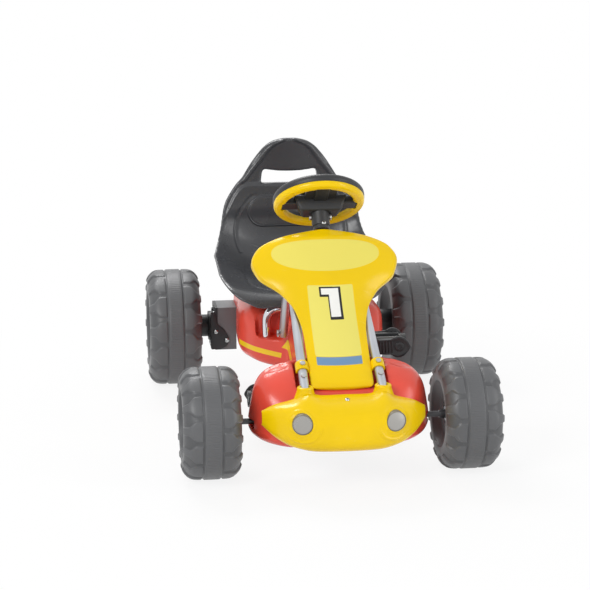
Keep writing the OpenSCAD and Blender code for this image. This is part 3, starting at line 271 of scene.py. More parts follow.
def smooth_copy(node, slot, width=0.5, degrees=32):
    source = frame["nodes"][node]
    piece = source.copy()
    piece.data = source.data.copy()
    for key in list(piece.keys()):
        del piece[key]
    piece.parent = None
    piece.name = node + "_finished"
    piece.data.name = piece.name
    bpy.context.scene.collection.objects.link(piece)
    pick(piece)
    bpy.ops.mesh.customdata_custom_splitnormals_clear()
    edit(piece, merge_points, lambda: bpy.ops.mesh.dissolve_limited(angle_limit=math.radians(1)))
    if width:
        finish_with(piece, "BEVEL", width=width * MM, segments=2, limit_method="ANGLE",
                    angle_limit=math.radians(degrees), use_clamp_overlap=True)
    soften(piece, degrees)
    settle(piece, body_of_node[node], slot, node)
    return piece


print("hand tools ready")

# %% [markdown]
# ## The red body
# The real body is one blow-moulded hollow from the fenders over the tunnel to the tub under the seat.
# A box model with bevels would look folded, so a closed loft is cut by soft boxes for the trough and the
# leg recesses, and a voxel remesh with a little smoothing then rounds every corner as the mould does.
# The tub stands out further on the left, so the sections swell on that side only.

# %% Body sections
body_half = [(-364, 83), (-356, 104), (-344, 128), (-315, 154), (-291, 162), (-270, 157), (-264, 145), (-259, 112),
             (-252, 62), (-238, 44), (-136, 44), (52, 44), (60, 58), (78, 89), (98, 109), (146, 127), (219, 123),
             (263, 117), (333, 117), (347, 109), (355, 95)]
body_top = [(-364, 100), (-358, 122), (-350, 138), (-338, 154), (-317, 174), (-291, 187), (-272, 192), (-242, 197),
            (-176, 204), (-136, 208), (-86, 200), (22, 190), (52, 188), (80, 187), (102, 188), (126, 200), (325, 200),
            (345, 192), (355, 174)]
body_under = [(-364, 74), (-350, 62), (-311, 58), (-272, 58), (-244, 76), (-136, 80), (52, 84), (132, 84), (325, 84),
              (355, 100)]
body_taper = [(-364, 0.06), (-291, 0.14), (-264, 0.14), (-238, 0.12), (52, 0.12), (112, 0.05), (259, 0), (355, 0)]


tub_swell = 30


def on_body(u, v):
    y = -364 + 719 * v
    top, under = curve(body_top, y), curve(body_under, y)
    a = math.radians(-90 + 360 * u)
    rise, out = power(math.sin(a), 2 / 4.2), power(math.cos(a), 2 / 4.2)
    half = curve(body_half, y) * (1 - curve(body_taper, y) * (rise + 1) / 2)
    if out > 0:
        half += tub_swell * smoothstep(78, 112, y) * smoothstep(256, 205, y)
    return half * out, y, (top + under) / 2 + (top - under) / 2 * rise


body = sheet("body_skin", 96, 220, on_body)
edit(body, merge_points, cap_open_ends, face_outwards)
for side in (-1, 1):
    low_x, high_x = sorted((47 * side, 98 * side))
    cut_with(body, rounded_box("recess_cutter", (low_x, 12, 142), (high_x, 106, 300), 7))
cut_with(body, rounded_box("trough_cutter", (-77.5, -430, 156.5), (77.5, -270, 320), 7))
finish_with(body, "REMESH", mode="VOXEL", voxel_size=0.0034)
finish_with(body, "SMOOTH", factor=0.5, iterations=3)
print("body faces", len(body.data.polygons))

# %% [markdown]
# The fenders carry a shallow oval dish on top, and the moulding is open below. The dish is pressed into the
# points, the underside faces are deleted, and Solidify then gives the shell its wall from the outer skin inwards.

# %% Body details
for point in body.data.vertices:
    x, y, z = (value / MM for value in point.co)
    dish = math.hypot((abs(x) - 106) / 21, (y + 281) / 12)
    if z > 140 and y < -255 and dish < 1:
        point.co -= Vector((0.18 * math.copysign(1, x), -0.25, 0.95)) * (2.2 * smoothstep(1, 0.72, dish) * MM)
edit(body, lambda: bpy.ops.mesh.select_all(action="DESELECT"))
for face in body.data.polygons:
    x, y, z = (value / MM for value in face.center)
    deep = curve(body_top, y) - curve(body_under, y)
    face.select = (z < curve(body_under, y) + 0.045 * deep and abs(x) < 0.8 * curve(body_half, y)
                   and -352 < y < 343 and face.normal.z < -0.6)
opened = sum(face.select for face in body.data.polygons)
bpy.ops.object.mode_set(mode="EDIT")
bpy.ops.mesh.delete(type="FACE")
bpy.ops.object.mode_set(mode="OBJECT")
finish_with(body, "SOLIDIFY", thickness=0.0027, offset=-1)
print("opened", opened, "faces below")


# %% Holes in the body
def round_cutter(a, b, diameter):
    a, b = Vector(a), Vector(b)
    bpy.ops.object.select_all(action="DESELECT")
    bpy.ops.mesh.primitive_cylinder_add(vertices=40, radius=diameter / 2 * MM, depth=(b - a).length * MM)
    piece = bpy.context.object
    turn = (b - a).to_track_quat("Z", "Y").to_matrix().to_4x4()
    piece.data.transform(Matrix.Translation((a + b) / 2 * MM) @ turn)
    return piece


column_lean = 37
column_foot = Vector((0, -283, 121))
column_way = Vector((0, math.sin(math.radians(column_lean)), math.cos(math.radians(column_lean))))
foot_rows = (162, 252)
cut_with(body, round_cutter((-80, *crank), (80, *crank), 22.8))
cut_with(body, round_cutter((-160, *rear_axle), (160, *rear_axle), 24))
cut_with(body, round_cutter(column_foot + 20 * column_way, column_foot + 200 * column_way, 17.4))
for side in (-1, 1):
    low_x, high_x = sorted((130 * side, 200 * side))
    cut_with(body, rounded_box("slot_cutter", (low_x, -316, 87.5), (high_x, -266, 102.5), 3))
    for y in foot_rows:
        cut_with(body, round_cutter((60 * side, y, 180), (60 * side, y, 220), 6.8))
soften(body, 40)
settle(body, "chassis", "red_body", "body_shell")

# %% [markdown]
# ## The yellow hood
# A thin injection-moulded cover: a narrow sloping panel that widens to the dash, with turned-down edges.
# It is laid as one sheet on the section curves, with its skirt as the last rows, then thickened inwards.

# %% Hood sections
hood_y = ([(0, -329), (0.3, -333.2), (0.6, -334.4), (1, -332)]
          + list(enumerate((-300, -250, -212, -181, -153, -133, -118, -108, -105, -103), 2)))
hood_z = ([(0, 157.4), (0.3, 158.4), (0.6, 161), (1, 165)]
          + list(enumerate((190, 230, 261, 289, 315, 337, 356, 371, 378, 383), 2)))
hood_half = ([(0, 40), (0.3, 46), (0.7, 50.5), (1.3, 53)]
             + list(enumerate((53, 54, 62, 84, 120, 129, 117, 82, 49, 16), 2)))
hood_crown = [(0, 2), (1, 5), (3, 9), (4, 12), (6, 18), (8, 16), (10, 6), (11, 2)]
hood_skirt = [(0, 4), (2, 6), (3, 4), (4, 3.4), (5, 7), (6, 14), (7, 22), (8, 30), (9.5, 32), (11, 20)]


def on_hood(u, v):
    s = 11 * v
    ahead, behind = min(11, s + 0.02), max(0, s - 0.02)
    run = Vector((0, curve(hood_y, ahead) - curve(hood_y, behind), curve(hood_z, ahead) - curve(hood_z, behind)))
    run.normalize()
    lift = Vector((0, -run.z, run.y))
    half, crown, skirt = curve(hood_half, s), curve(hood_crown, s), curve(hood_skirt, s)
    roll = min(9, 0.5 * skirt)
    edge = (2 * u - 1) * 1.3
    width = math.sin(math.pi / 2 * max(-1, min(1, edge)))
    over = 2 * max(0, abs(edge) - 1) / 0.3
    turn = min(1, over) * math.pi / 2
    out = (half - roll) * width + math.copysign(roll * math.sin(turn), edge)
    rise = crown * (1 - width**2) - roll * (1 - math.cos(turn)) - max(0, over - 1) * (skirt - roll)
    return Vector((out, curve(hood_y, s), curve(hood_z, s))) + lift * rise


hood = sheet("hood_skin", 104, 170, on_hood)
face_forward(hood)
finish_with(hood, "SMOOTH", factor=0.5, iterations=2)
finish_with(hood, "SOLIDIFY", thickness=0.0028, offset=-1)
print("hood points", len(hood.data.vertices))

# %% [markdown]
# Two half clamps on the hood's edges grip the tubes, each with a screw. A clamp is a short bent strip
# with thickness, set along the tube's slope.

# %% Hood clamps
tube_slope = math.atan2(284 - 166.4, -145 + 334)


def tube_at(y):
    t = (y + 334) / 189
    return Vector((65 - 5 * t, y, 166.4 + (284 - 166.4) * t))


def clamp(side):
    at = Matrix.Translation(tube_at(-301)) @ Matrix.Rotation(tube_slope, 4, "X")

    def place(u, v):
        a = math.radians(-18 + 216 * u)
        p = at @ Vector((8.4 * math.cos(a), -9 + 18 * v, 8.4 * math.sin(a)))
        return side * p.x, p.y, p.z

    strip = sheet("clamp", 24, 4, place)
    edit(strip, face_outwards)
    outward = sum(face.normal.z for face in strip.data.polygons) > 0
    finish_with(strip, "SOLIDIFY", thickness=0.003, offset=1 if outward else -1)
    break_edges(strip, 0.6)
    return strip


hood = join("hood_skin", hood, clamp(1), clamp(-1))
soften(hood, 40)
settle(hood, "chassis", "yellow_cover", "hood")

# %% [markdown]
# ## The yellow bumper
# A rounded shell that wraps the nose, with a socket on each side where a tube is plugged in.
# Its sections run from the top edge over the front to the lower edge; the lamps get their holes by a cut.
# A lip and a short bead round each lamp are pushed out of the sheet, since they belong to the same moulding.

# %% Bumper sections
bumper_top = [(0, 154), (50, 153), (80, 148), (115, 139), (137, 127)]
bumper_low = [(0, 68.5), (50, 69), (90, 75), (115, 86), (137, 103)]
lamp_x, lamp_z = 77, 120


def bumper_front(x):
    return -414 + 66 * (abs(x) / 137) ** 3


def on_bumper(u, v):
    x = 137 * math.sin(math.radians(90 - 180 * u))
    deep = 62 - 53 * (abs(x) / 137) ** 3
    high, low = curve(bumper_top, abs(x)), curve(bumper_low, abs(x))
    middle = low + 0.42 * (high - low)
    a = math.radians(90 - 180 * v)
    into = (deep if a >= 0 else 8 + 0.36 * deep) * (1 - power(math.cos(a), 0.75))
    rise = (high - middle if a >= 0 else middle - low) * power(math.sin(a), 0.75)
    tower = 9 * math.exp(-(((abs(x) - 65) / 15) ** 2)) * max(0, math.sin(a)) ** 5
    return x, bumper_front(x) + into, middle + rise + tower


bumper = sheet("bumper_skin", 240, 110, on_bumper)
face_forward(bumper)
for point, normal in points_and_normals(bumper):
    x, y, z = (value / MM for value in point.co)
    away, down = abs(x) - lamp_x, z - lamp_z
    reach, turn = math.hypot(away, down), math.degrees(math.atan2(down, -away))
    lip = 1.1 * smoothstep(22.5, 19.5, reach)
    bead = 1.3 * smoothstep(3.2, 0.6, abs(reach - 31)) * smoothstep(-140, -115, turn) * smoothstep(0, -25, turn)
    if y < -370:
        point.co += normal * ((lip + bead) * MM)
finish_with(bumper, "SOLIDIFY", thickness=0.0028, offset=-1)
lamp_at = {side: Matrix.Translation((lamp_x * side, bumper_front(lamp_x), lamp_z)) @ spin(12 * side, "Z") @ spin(90, "X")
           for side in (-1, 1)}
for side in (-1, 1):
    hole = lamp_at[side]
    cut_with(bumper, round_cutter(hole @ Vector((0, 0, -20)), hole @ Vector((0, 0, 20)), 34.7))
print("bumper points", len(bumper.data.vertices))

# %% [markdown]
# Each tube ends in a flared socket on the bumper, and one screw holds the shell at the top. The socket is turned and then
# bored along the tube, so that the wall follows the slope; the screw stands square to the sheet where it sits.

# %% Sockets for the tubes
socket_profile = ([(8.6, -3), (18.5, -3), (16.2, 3), (14.6, 8), (13.8, 11.5)] + fillet(10.8, 12.8, 3.2, 0, 90, 5)
                  + [(8.6, 16)])


def socket(side):
    piece = turned("socket", socket_profile + [socket_profile[0]], 56, Matrix.Translation((65 * side, -347, 152)))
    low = tube_at(-334)
    way = Vector((0, math.cos(tube_slope), math.sin(tube_slope)))
    a, b = low - 30 * way, low + 30 * way
    cut_with(piece, round_cutter((a.x * side, a.y, a.z), (b.x * side, b.y, b.z), 16.7))
    return piece


bumper = join("bumper_skin", bumper, socket(1), socket(-1))
soften(bumper, 40)
settle(bumper, "chassis", "yellow_cover", "bumper")
top_point, before, beside = (Vector(on_bumper(*place)) for place in ((0.5, 0.1), (0.5, 0.12), (0.51, 0.1)))
outward = (before - top_point).cross(beside - top_point).normalized()
outward = outward if outward.z > 0 else -outward
on_top = Matrix.Translation(top_point) @ outward.to_track_quat("Z", "Y").to_matrix().to_4x4()
bumper_screw = screw("bumper_screw", on_top, 4.2, 2.4)
settle(bumper_screw, "chassis", "zinc_steel")

# %% [markdown]
# ## The seat
# One charcoal moulding: a pan with a rounded front lip, high wings, and a back that narrows to a carrying handle.
# It starts as a closed loft whose wings roll over at the rim, since a mould leaves no sharp tip there. The handle gap
# is cut through it, and a voxel remesh melts the cut into round edges.

# %% Seat sections
bend_keys = [(4.5, 18), (5, 36), (5.5, 54), (6, 72), (6.5, 86)]
seat_y = ([(0, 50), (1, 60), (2, 86), (3, 152), (4, 242)]
          + [(s, 242 + 102 * math.sin(math.radians(a))) for s, a in bend_keys]
          + [(7.2, 345), (8, 346), (9, 344), (10, 340), (11, 338)])
seat_z = ([(0, 208), (1, 221), (2, 227), (3, 223), (4, 221)]
          + [(s, 221 + 102 * (1 - math.cos(math.radians(a)))) for s, a in bend_keys]
          + [(7.2, 360), (8, 402), (9, 437), (10, 470), (11, 483)])
seat_half = [(0, 102), (1, 131), (2, 152), (3, 164), (4, 164), (5, 158), (6, 147), (7, 136), (7.8, 110), (8.1, 97),
             (8.4, 90), (9, 77), (10, 48), (10.6, 33), (11, 16)]
seat_wing = [(0, 0), (1, 4), (2, 15), (3, 36), (4, 51), (5, 48), (6, 31), (7, 15), (8, 5), (9, 1), (10, 0), (11, 0)]
seat_thick = [(0, 10), (1, 14), (6, 14), (8, 22), (10, 22), (11, 12)]


roll_start, roll_depth = 0.93, 0.1


def on_seat(u, v):
    s = 11 * v
    ahead, behind = min(11, s + 0.05), max(0, s - 0.05)
    run = Vector((0, curve(seat_y, ahead) - curve(seat_y, behind), curve(seat_z, ahead) - curve(seat_z, behind)))
    run.normalize()
    face = Vector((0, -run.z, run.y))
    front = u <= 0.5
    across = 1 - 4 * u if front else 4 * u - 3
    width = math.sin(math.pi / 2 * across)
    rolled = roll_depth * max(0, (abs(width) - roll_start) / (1 - roll_start)) ** 2
    lift = curve(seat_wing, s) * (1.04 * abs(width) ** 2.6 - rolled)
    if not front:
        lift -= curve(seat_thick, s) * max(0, 1 - width**6) ** 0.4
    return Vector((curve(seat_half, s) * width, curve(seat_y, s), curve(seat_z, s))) + face * lift


seat = sheet("seat_skin", 120, 190, on_seat)
edit(seat, merge_points, cap_open_ends, face_outwards)
gap_top = [(x, 422.5 - 6 * (1 - (x / 54) ** 2)) for x in range(54, -55, -9)]
cut_with(seat, plate("gap_cutter", [(-58, 393), (58, 393)] + gap_top, 345, 110, 7))
finish_with(seat, "REMESH", mode="VOXEL", voxel_size=0.0022)
finish_with(seat, "SMOOTH", factor=0.5, iterations=20)
print("seat faces", len(seat.data.polygons))

# %% [markdown]
# The back carries a low raised bar across it and a shallow cushion outline below. Both are only a few millimetres
# of relief, so the points of the front face are pushed by a smooth step instead of adding pieces.

# %% Seat relief
def stadium(x, z, half_width, half_height):
    return math.hypot(max(0, abs(x) - half_width + half_height), z) - half_height


arch_half = [(360, 132), (402, 101), (437, 73), (470, 46), (483, 16)]
for point, normal in points_and_normals(seat):
    x, y, z = (value / MM for value in point.co)
    if normal.y < -0.2 and z > 262:
        raised = 2.6 * smoothstep(1.6, -1.6, stadium(x, z - 338, 84, 30))
        frame_line = abs(stadium(x, z - 300, 112, 86))
        groove = -1.8 * smoothstep(4.5, 0.5, frame_line) if z < 372 else 0
        inset = curve(arch_half, z) - abs(x)
        arch = 3.4 * smoothstep(2, 6, inset) * smoothstep(17, 12, inset) * smoothstep(392, 400, z)
        back_top = 394 - 55 * max(0, (abs(x) - 84) / 45) ** 2
        shoulder = 4.5 * smoothstep(back_top + 2.5, back_top - 4, z) * smoothstep(320, 350, z)
        point.co += normal * ((raised + groove + arch + shoulder) * smoothstep(-0.25, -0.75, normal.y) * MM)
    elif normal.z > 0.5 and 80 < y < 300 and z < 262:
        pan_line = math.hypot(max(0, abs(x) - 58), max(0, abs(y - 190) - 38)) - 46
        point.co += normal * (-1.8 * smoothstep(4.5, 0.5, abs(pan_line)) * MM)
finish_with(seat, "SMOOTH", factor=0.5, iterations=2)
foot_profile = [(3.6, 0.4), (12, 0.4)] + fillet(12, 1.4, 1, 270, 360, 3) + [(13, 12), (3.6, 12), (3.6, 0.4)]
feet = [turned("foot", foot_profile, 40, Matrix.Translation((60 * side, y, 200))) for side in (-1, 1) for y in foot_rows]
seat = join("seat_skin", seat, *feet)
soften(seat, 45)
settle(seat, "chassis", "charcoal_seat", "seat")

# %% [markdown]
# ## The wheels
# Each wheel is one hollow blow moulding: tyre, rim and hub in the same dark plastic, with low blocks on both shoulders
# and a ribbed band between them. A spun profile alone would be bald, so a grid goes round the axle and its
# shoulder points are raised where a block stands, with soft flanks as a mould leaves them. A pressed silver ring
# closes the inner side of each front hub; it is a turned washer and rides on its wheel.

# %% Wheel surface
tread_blocks = 14


def block_height(turn, lean, h):
    pitch = 360 / tread_blocks
    along = (turn + pitch / 2 - 4.5) % pitch - pitch / 2
    half = 4.6 + 5.6 * smoothstep(48, 78, lean)
    raised = (2.8 - 1.0 * smoothstep(60, 86, lean)) * smoothstep(16.6, 18.6, abs(h))
    return raised * smoothstep(half + 0.9, half - 0.9, abs(along)) * smoothstep(10, 19, lean)


def wheel_rows(radius, width, opening, bore):
    tread, edge, floor_in, floor_out = radius - 2.5, width / 2 - 4, -width / 2 + 20, width / 2 - 32
    rim = opening / 2
    rows = [(bore, floor_in, 0, 0), (rim - 14, floor_in, 0, 0), (rim - 11, floor_in - 0.6, 0, 0),
            (rim - 9, floor_in - 2.4, 0, 0), (rim - 1, -edge + 6, 0, 0), (rim, -edge + 4, 0, 0),
            (rim + 1.4, -edge + 1.2, 0, 0), (rim + 4, -edge, 0, 0)]
    left = [(tread - 26 + 26 * math.sin(math.radians(lean)), -edge + 26 - 26 * math.cos(math.radians(lean)), lean, -1)
            for lean in (3.75 * i for i in range(25))]
    left += [(tread, -h, 90, -1) for h in (20.5, 19, 18, 17.2, 16.4)]
    band = [(tread + 2.3 * smoothstep(15.4, 12.6, abs(h)), h, 0, 0)
            for h in (-15.6, -14.8, -14, -13.2, -12.4, -8, 0, 8, 12.4, 13.2, 14, 14.8, 15.6)]
    right = [(r, -h, lean, 1) for r, h, lean, flank in reversed(left)]
    rows += left + band + right
    rows += [(rim + 4, edge, 0, 0), (rim + 1.4, edge - 1.2, 0, 0), (rim, edge - 4, 0, 0), (rim - 2, edge - 8, 0, 0),
             (rim - 14, floor_out + 3, 0, 0), (rim - 16, floor_out + 1, 0, 0), (rim - 19, floor_out, 0, 0),
             (bore, floor_out, 0, 0), (bore, floor_in, 0, 0)]
    return rows


def wheel(name, centre, side, radius, width, opening, bore):
    rows = wheel_rows(radius, width, opening, bore)

    def place(u, v):
        r, h, lean, flank = rows[round(v * (len(rows) - 1))]
        turn = 360 * u
        if flank:
            raised = block_height(turn if flank > 0 else turn - 180 / tread_blocks, lean, h)
            r += raised * math.sin(math.radians(lean))
            h += flank * raised * math.cos(math.radians(lean))
        a = math.radians(turn)
        return side * (centre[0] + h), centre[1] + r * math.sin(a), centre[2] - r * math.cos(a)

    piece = sheet(name, 420, len(rows) - 1, place)
    edit(piece, merge_points, face_outwards)
    soften(piece, 38)
    return piece


ring_profile = [(8.2, 0.2), (25, 0.2)] + fillet(24, 1.2, 1, 0, 90, 3) + [(14, 2.2), (12, 3.4), (8.2, 3.4), (8.2, 0.2)]
front_wheels, rear_wheels, hub_rings = [], [], []
for side, word in SIDES:
    front = wheel("front_tyre_" + word, (219, *front_axle), side, 95, 104, 112, 5.05)
    settle(front, "front_wheel_" + word, "tyre_plastic", "front_wheel_" + word)
    rear = wheel("rear_tyre_" + word, (241, *rear_axle), side, 115, 108, 136, 8.05)
    settle(rear, body_of_node["rear_wheel_" + word], "tyre_plastic", "rear_wheel_" + word)
    front_wheels.append(front)
    rear_wheels.append(rear)
    at = Matrix.Translation((186.9 * side, *front_axle)) @ spin(-90 * side, "Y")
    hub_rings.append(turned("hub_ring_" + word, ring_profile, 64, at))
    soften(hub_rings[-1], 40)
    settle(hub_rings[-1], "front_wheel_" + word, "cap_silver")

# %% [markdown]
# A silver cap hides each wheel nut. It is a thin pressed dome with a rolled edge and a shallow ring, turned on the axle.

# %% Wheel caps
def cap_rows(diameter):
    r = diameter / 2
    return ([(r - 2, 0), (r - 0.4, 0), (r, 0.4), (r, 4)] + fillet(r - 9, 8, 9, 20, 90, 8)
            + [(r - 12, 17), (r - 13, 16.4), (r - 15, 16.4), (r - 16, 17), (r * 0.34, 17), (r * 0.34 - 1, 16.2),
               (r * 0.2, 16), (0, 16), (0, 14)] + fillet(r - 9, 8, 7, 90, 20, 8) + [(r - 2, 4), (r - 2, 0)])


caps = []
for side, word in SIDES:
    for end, x, axle, diameter in (("front", 239.3, front_axle, 72), ("rear", 263.3, rear_axle, 88)):
        at = Matrix.Translation((x * side, *axle)) @ spin(90 * side, "Y")
        cap = turned(end + "_cap_skin_" + word, cap_rows(diameter), 72, at)
        soften(cap, 40)
        settle(cap, body_of_node[end + "_cap_" + word], "cap_silver", end + "_cap_" + word)
        caps.append(cap)

# %% [markdown]
# ## Tubes
# Bent steel tube is a circle carried along a line with rounded corners. The path is worked out first, corner by corner,
# so that the bends have the real former's radius; the sheet is rolled round it and given its wall.

# %% Bent tubes
def bent_path(corners, bend, steps=12):
    corners = [Vector(c) for c in corners]
    path = [corners[0]]
    for before, at, after in zip(corners, corners[1:], corners[2:]):
        inward, outward = (before - at).normalized(), (after - at).normalized()
        half = inward.angle(outward) / 2
        reach = bend / math.tan(half)
        centre = at + (inward + outward).normalized() * (bend / math.sin(half))
        start, end = at + inward * reach - centre, at + outward * reach - centre
        for i in range(steps + 1):
            t = i / steps
            sweep = start.angle(end)
            path.append(centre + (start * math.sin((1 - t) * sweep) + end * math.sin(t * sweep)) / math.sin(sweep))
    return path + [corners[-1]]


def tube(name, corners, diameter, bend, wall=1.5):
    path = bent_path(corners, bend)
    last = len(path) - 1
    runs = [(path[min(i + 1, last)] - path[max(i - 1, 0)]).normalized() for i in range(last + 1)]
    beside = runs[0].orthogonal().normalized()
    frames = []
    for run in runs:
        beside = (beside - run * beside.dot(run)).normalized()
        frames.append((beside.copy(), run.cross(beside)))

    def place(u, v):
        i = round(v * last)
        a = 2 * math.pi * u
        return path[i] + (frames[i][0] * math.cos(a) + frames[i][1] * math.sin(a)) * (diameter / 2)

    piece = sheet(name, 36, last, place)
    edit(piece, merge_points, face_outwards)
    middle = sum((piece.data.vertices[i].co for i in piece.data.polygons[0].vertices), Vector()) / 4
    nearest = min(path, key=lambda p: (p * MM - middle).length)
    if piece.data.polygons[0].normal.dot(middle - nearest * MM) < 0:
        edit(piece, lambda: bpy.ops.mesh.flip_normals())
    finish_with(piece, "SOLIDIFY", thickness=wall * MM, offset=-1)
    break_edges(piece, 0.4)
    soften(piece, 35)
    return piece


tubes = []
for side, word in SIDES:
    corners = [(65.3 * side, -345.5, 159.3), (60 * side, -145, 284), (60 * side, -86, 284), (52.3 * side, 40, 158)]
    tubes.append(tube("side_tube_" + word, corners, 16, 30))
    settle(tubes[-1], "chassis", "silver_tube", "hoop_tube_" + word)
tubes.append(tube("cross_tube", [(-51.7, -123, 284), (51.7, -123, 284)], 16, 30))
settle(tubes[-1], "chassis", "silver_tube", "hoop_cross_tube")
seat_loop = tube("seat_loop", [(-78, 89, 142.3), (-78, 89, 196.5), (78, 89, 196.5), (78, 89, 142.3)], 16, 24)
settle(seat_loop, "chassis", "chrome_tube", "seat_hoop")

# %% [markdown]
# ## The steering wheel
# A black moulded rim with a yellow ring clipped to its front, three spokes, a hub on the column and a padded centre.
# Everything is set about the column, which leans back 37 degrees. Behind the pad the hub widens to a shallow bowl: a box
# whose lower corners are drawn in, bevelled all round.

# %% Steering wheel
column = Matrix.Translation(column_foot) @ spin(-column_lean, "X")
on_wheel = column @ Matrix.Translation((0, 0, 379))
rim_rows = ([(60.6, 0), (81.4, 0)] + fillet(76, 6, 6, -20, 0, 3) + fillet(73, 7, 9, 20, 90, 10)
            + fillet(69, 7, 9, 90, 160, 10) + fillet(66, 6, 6, 180, 200, 3) + [(60.6, 0)])
steering_parts = [turned("steering_rim", rim_rows, 144, on_wheel)]
hub_rows = ([(6.1, -50), (14.5, -50)] + fillet(14.5, -48.5, 1.5, 270, 360, 4)
            + [(16, -18), (17, -15), (26, -1), (27, 0), (6.1, 0), (6.1, -50)])
steering_parts.append(turned("steering_hub", hub_rows, 64, on_wheel))
spoke_turns = (0, 180, 270)
for turn in spoke_turns:
    at = on_wheel @ spin(turn, "Z")
    steering_parts.append(rounded_box("spoke", (8, -12, -9), (67, 12, 6), 2.5, at))
sleeve_rows = [(10.2, -57), (14.4, -57), (14.4, -49.8), (10.2, -49.8), (10.2, -57)]
steering_parts.append(turned("hub_sleeve", sleeve_rows, 64, on_wheel))
steering_parts.append(rounded_box("front_web", (-28, -53, -5), (28, -20, 4), 2.5, on_wheel))
bowl = rounded_box("bowl", (-1, -1, 0), (1, 1, 1), 0)
for point in bowl.data.vertices:
    right, back, up = (point.co.x > 0) * 2 - 1, point.co.y > 0, point.co.z > 0.0005
    half, y = ((41, 20) if back else (49, -24)) if up else ((31, 14) if back else (37, -19))
    point.co = (on_wheel @ Vector((half * right, y, 4.5 if up else -25))) * MM
edit(bowl, lambda: bpy.ops.mesh.bevel(offset=5 * MM, segments=5, profile=0.5, affect="EDGES"))
steering = join("steering_rim", *steering_parts, bowl)
soften(steering, 40)
settle(steering, "steering", "black_plastic", "steering_wheel")

# %% Yellow ring and hub screw
ring_rows = [(61, -0.2)] + fillet(68, -3, 7, 180, 270, 9) + fillet(74, -3, 7, 270, 360, 9) + [(81, -0.2), (61, -0.2)]
ring = turned("steering_yellow_ring", ring_rows, 144, on_wheel)
for turn in spoke_turns:
    at = on_wheel @ spin(turn, "Z")
    cut_with(ring, rounded_box("spoke_cutter", (20, -12.4, -14), (67.4, 12.4, 3), 1.5, at))
soften(ring, 40)
settle(ring, "steering", "yellow_cover", "steering_ring")
pad = smooth_copy("steering_pad", "grey_trim", 2.2, 40)
hub_screw = screw("hub_screw", on_wheel @ Matrix.Translation((3, -14.6, -48)) @ spin(90, "X"), 4, 2)
settle(hub_screw, "steering", "zinc_steel")

# %% [markdown]
# ## Headlamps
# Toy lamps: a silvered dome behind a thin dark rim, pressed into the bumper. One turned profile gives both, and the
# faces of its outer band take the rim's finish later.

# %% Headlamps
lamp_dome = [(15.5 * (1 - t / 9), 1.4 + 1.8 * math.sin(math.pi / 2 * t / 9)) for t in range(1, 10)]
lamp_rows = ([(0, -11), (16.4, -11), (16.9, -10.5), (16.9, 1.8)] + fillet(16.2, 1.8, 0.7, 0, 90, 4)
             + [(15.7, 2.3), (15.5, 1.4)] + lamp_dome)
lamps = []
for side, word in SIDES:
    lamp = turned("lamp_" + word, lamp_rows, 64, lamp_at[side])
    soften(lamp, 35)
    settle(lamp, "chassis", "lamp_silver", "headlamp_" + word)
    lamps.append(lamp)

# %% [markdown]
# ## Running gear and fasteners
# Brackets, knuckles, rods, sprockets and screws already have their true shape as solids. What they lack is the broken
# edge that every folded or turned piece has, so each is copied, merged, bevelled by a fraction of a millimetre and smoothed.

# %% Broken edges
gear_finish = {
    "black_steel": ("rear_bracket_left", "rear_bracket_right"),
    "black_plastic": ("bearing_block_left", "bearing_block_right", "crank_bushes", "rear_spacers", "lower_column_bush",
                      "upper_column_bush"),
    "dark_steel": ("front_beam", "knuckle_left", "knuckle_right", "drop_arm", "crank_shaft", "rear_sprocket", "chainring",
                   "chain"),
    "zinc_steel": ("steering_shaft", "tie_rod_left", "tie_rod_right", "rear_axle", "kingpins", "beam_bolts", "hood_screws",
                   "hoop_bolts", "seat_bolts", "steering_bolt", "front_nut_left", "front_nut_right", "bracket_bolts",
                   "axle_nuts", "pedal_nuts", "drive_pin"),
}
gear = {slot: [smooth_copy(node, slot, 0.3 if slot != "black_plastic" else 0.8) for node in nodes if node in frame["nodes"]]
        for slot, nodes in gear_finish.items()}

# %% [markdown]
# A flat gusset stiffens each rear bracket at the front, held by two screws. It is cut from sheet, so an outline with
# rounded corners gets the sheet's thickness and a broken edge.

# %% Gusset plates
gusset = [(169, 150), (160, 150), (156, 126), (142, 114), (132, 96), (136, 80), (150, 73), (169, 74)]
gussets, gusset_screws = [], []
for side, word in SIDES:
    piece = plate("gusset_" + word, [(x * side, z) for x, z in gusset], 265, 3, 3.5)
    break_edges(piece, 0.8, 3)
    soften(piece, 40)
    settle(piece, "chassis", "black_plastic")
    gussets.append(piece)
    for x, z in ((159, 110), (137, 92)):
        at = Matrix.Translation((x * side, 263.4, z)) @ spin(90, "X")
        gusset_screws.append(screw("gusset_screw_" + word, at, 5, 2.6))
        settle(gusset_screws[-1], "chassis", "zinc_steel")

# %% [markdown]
# A pedal shows a treaded face to the front and to the back: a frame round a shallow hollow, four ribs across it and a boss
# on the spindle. The frame is a plate with the hollow cut out, and the rest is set on it and joined to the pedal.

# %% Pedal faces
pedals = [smooth_copy("pedal_" + word, "black_plastic", 0.8) for word in ("left", "right")]
upper = [(81, 12.5), (102, 13.5), (106, 16.5), (111, 18.5), (118, 18.5), (125, 15.5), (131, 9)]
pedal_outline = upper + [(136, 0)] + [(x, -z) for x, z in reversed(upper)]
hollow_outline = [(108 + (x - 108) * 0.9, z * 0.8) for x, z in pedal_outline]


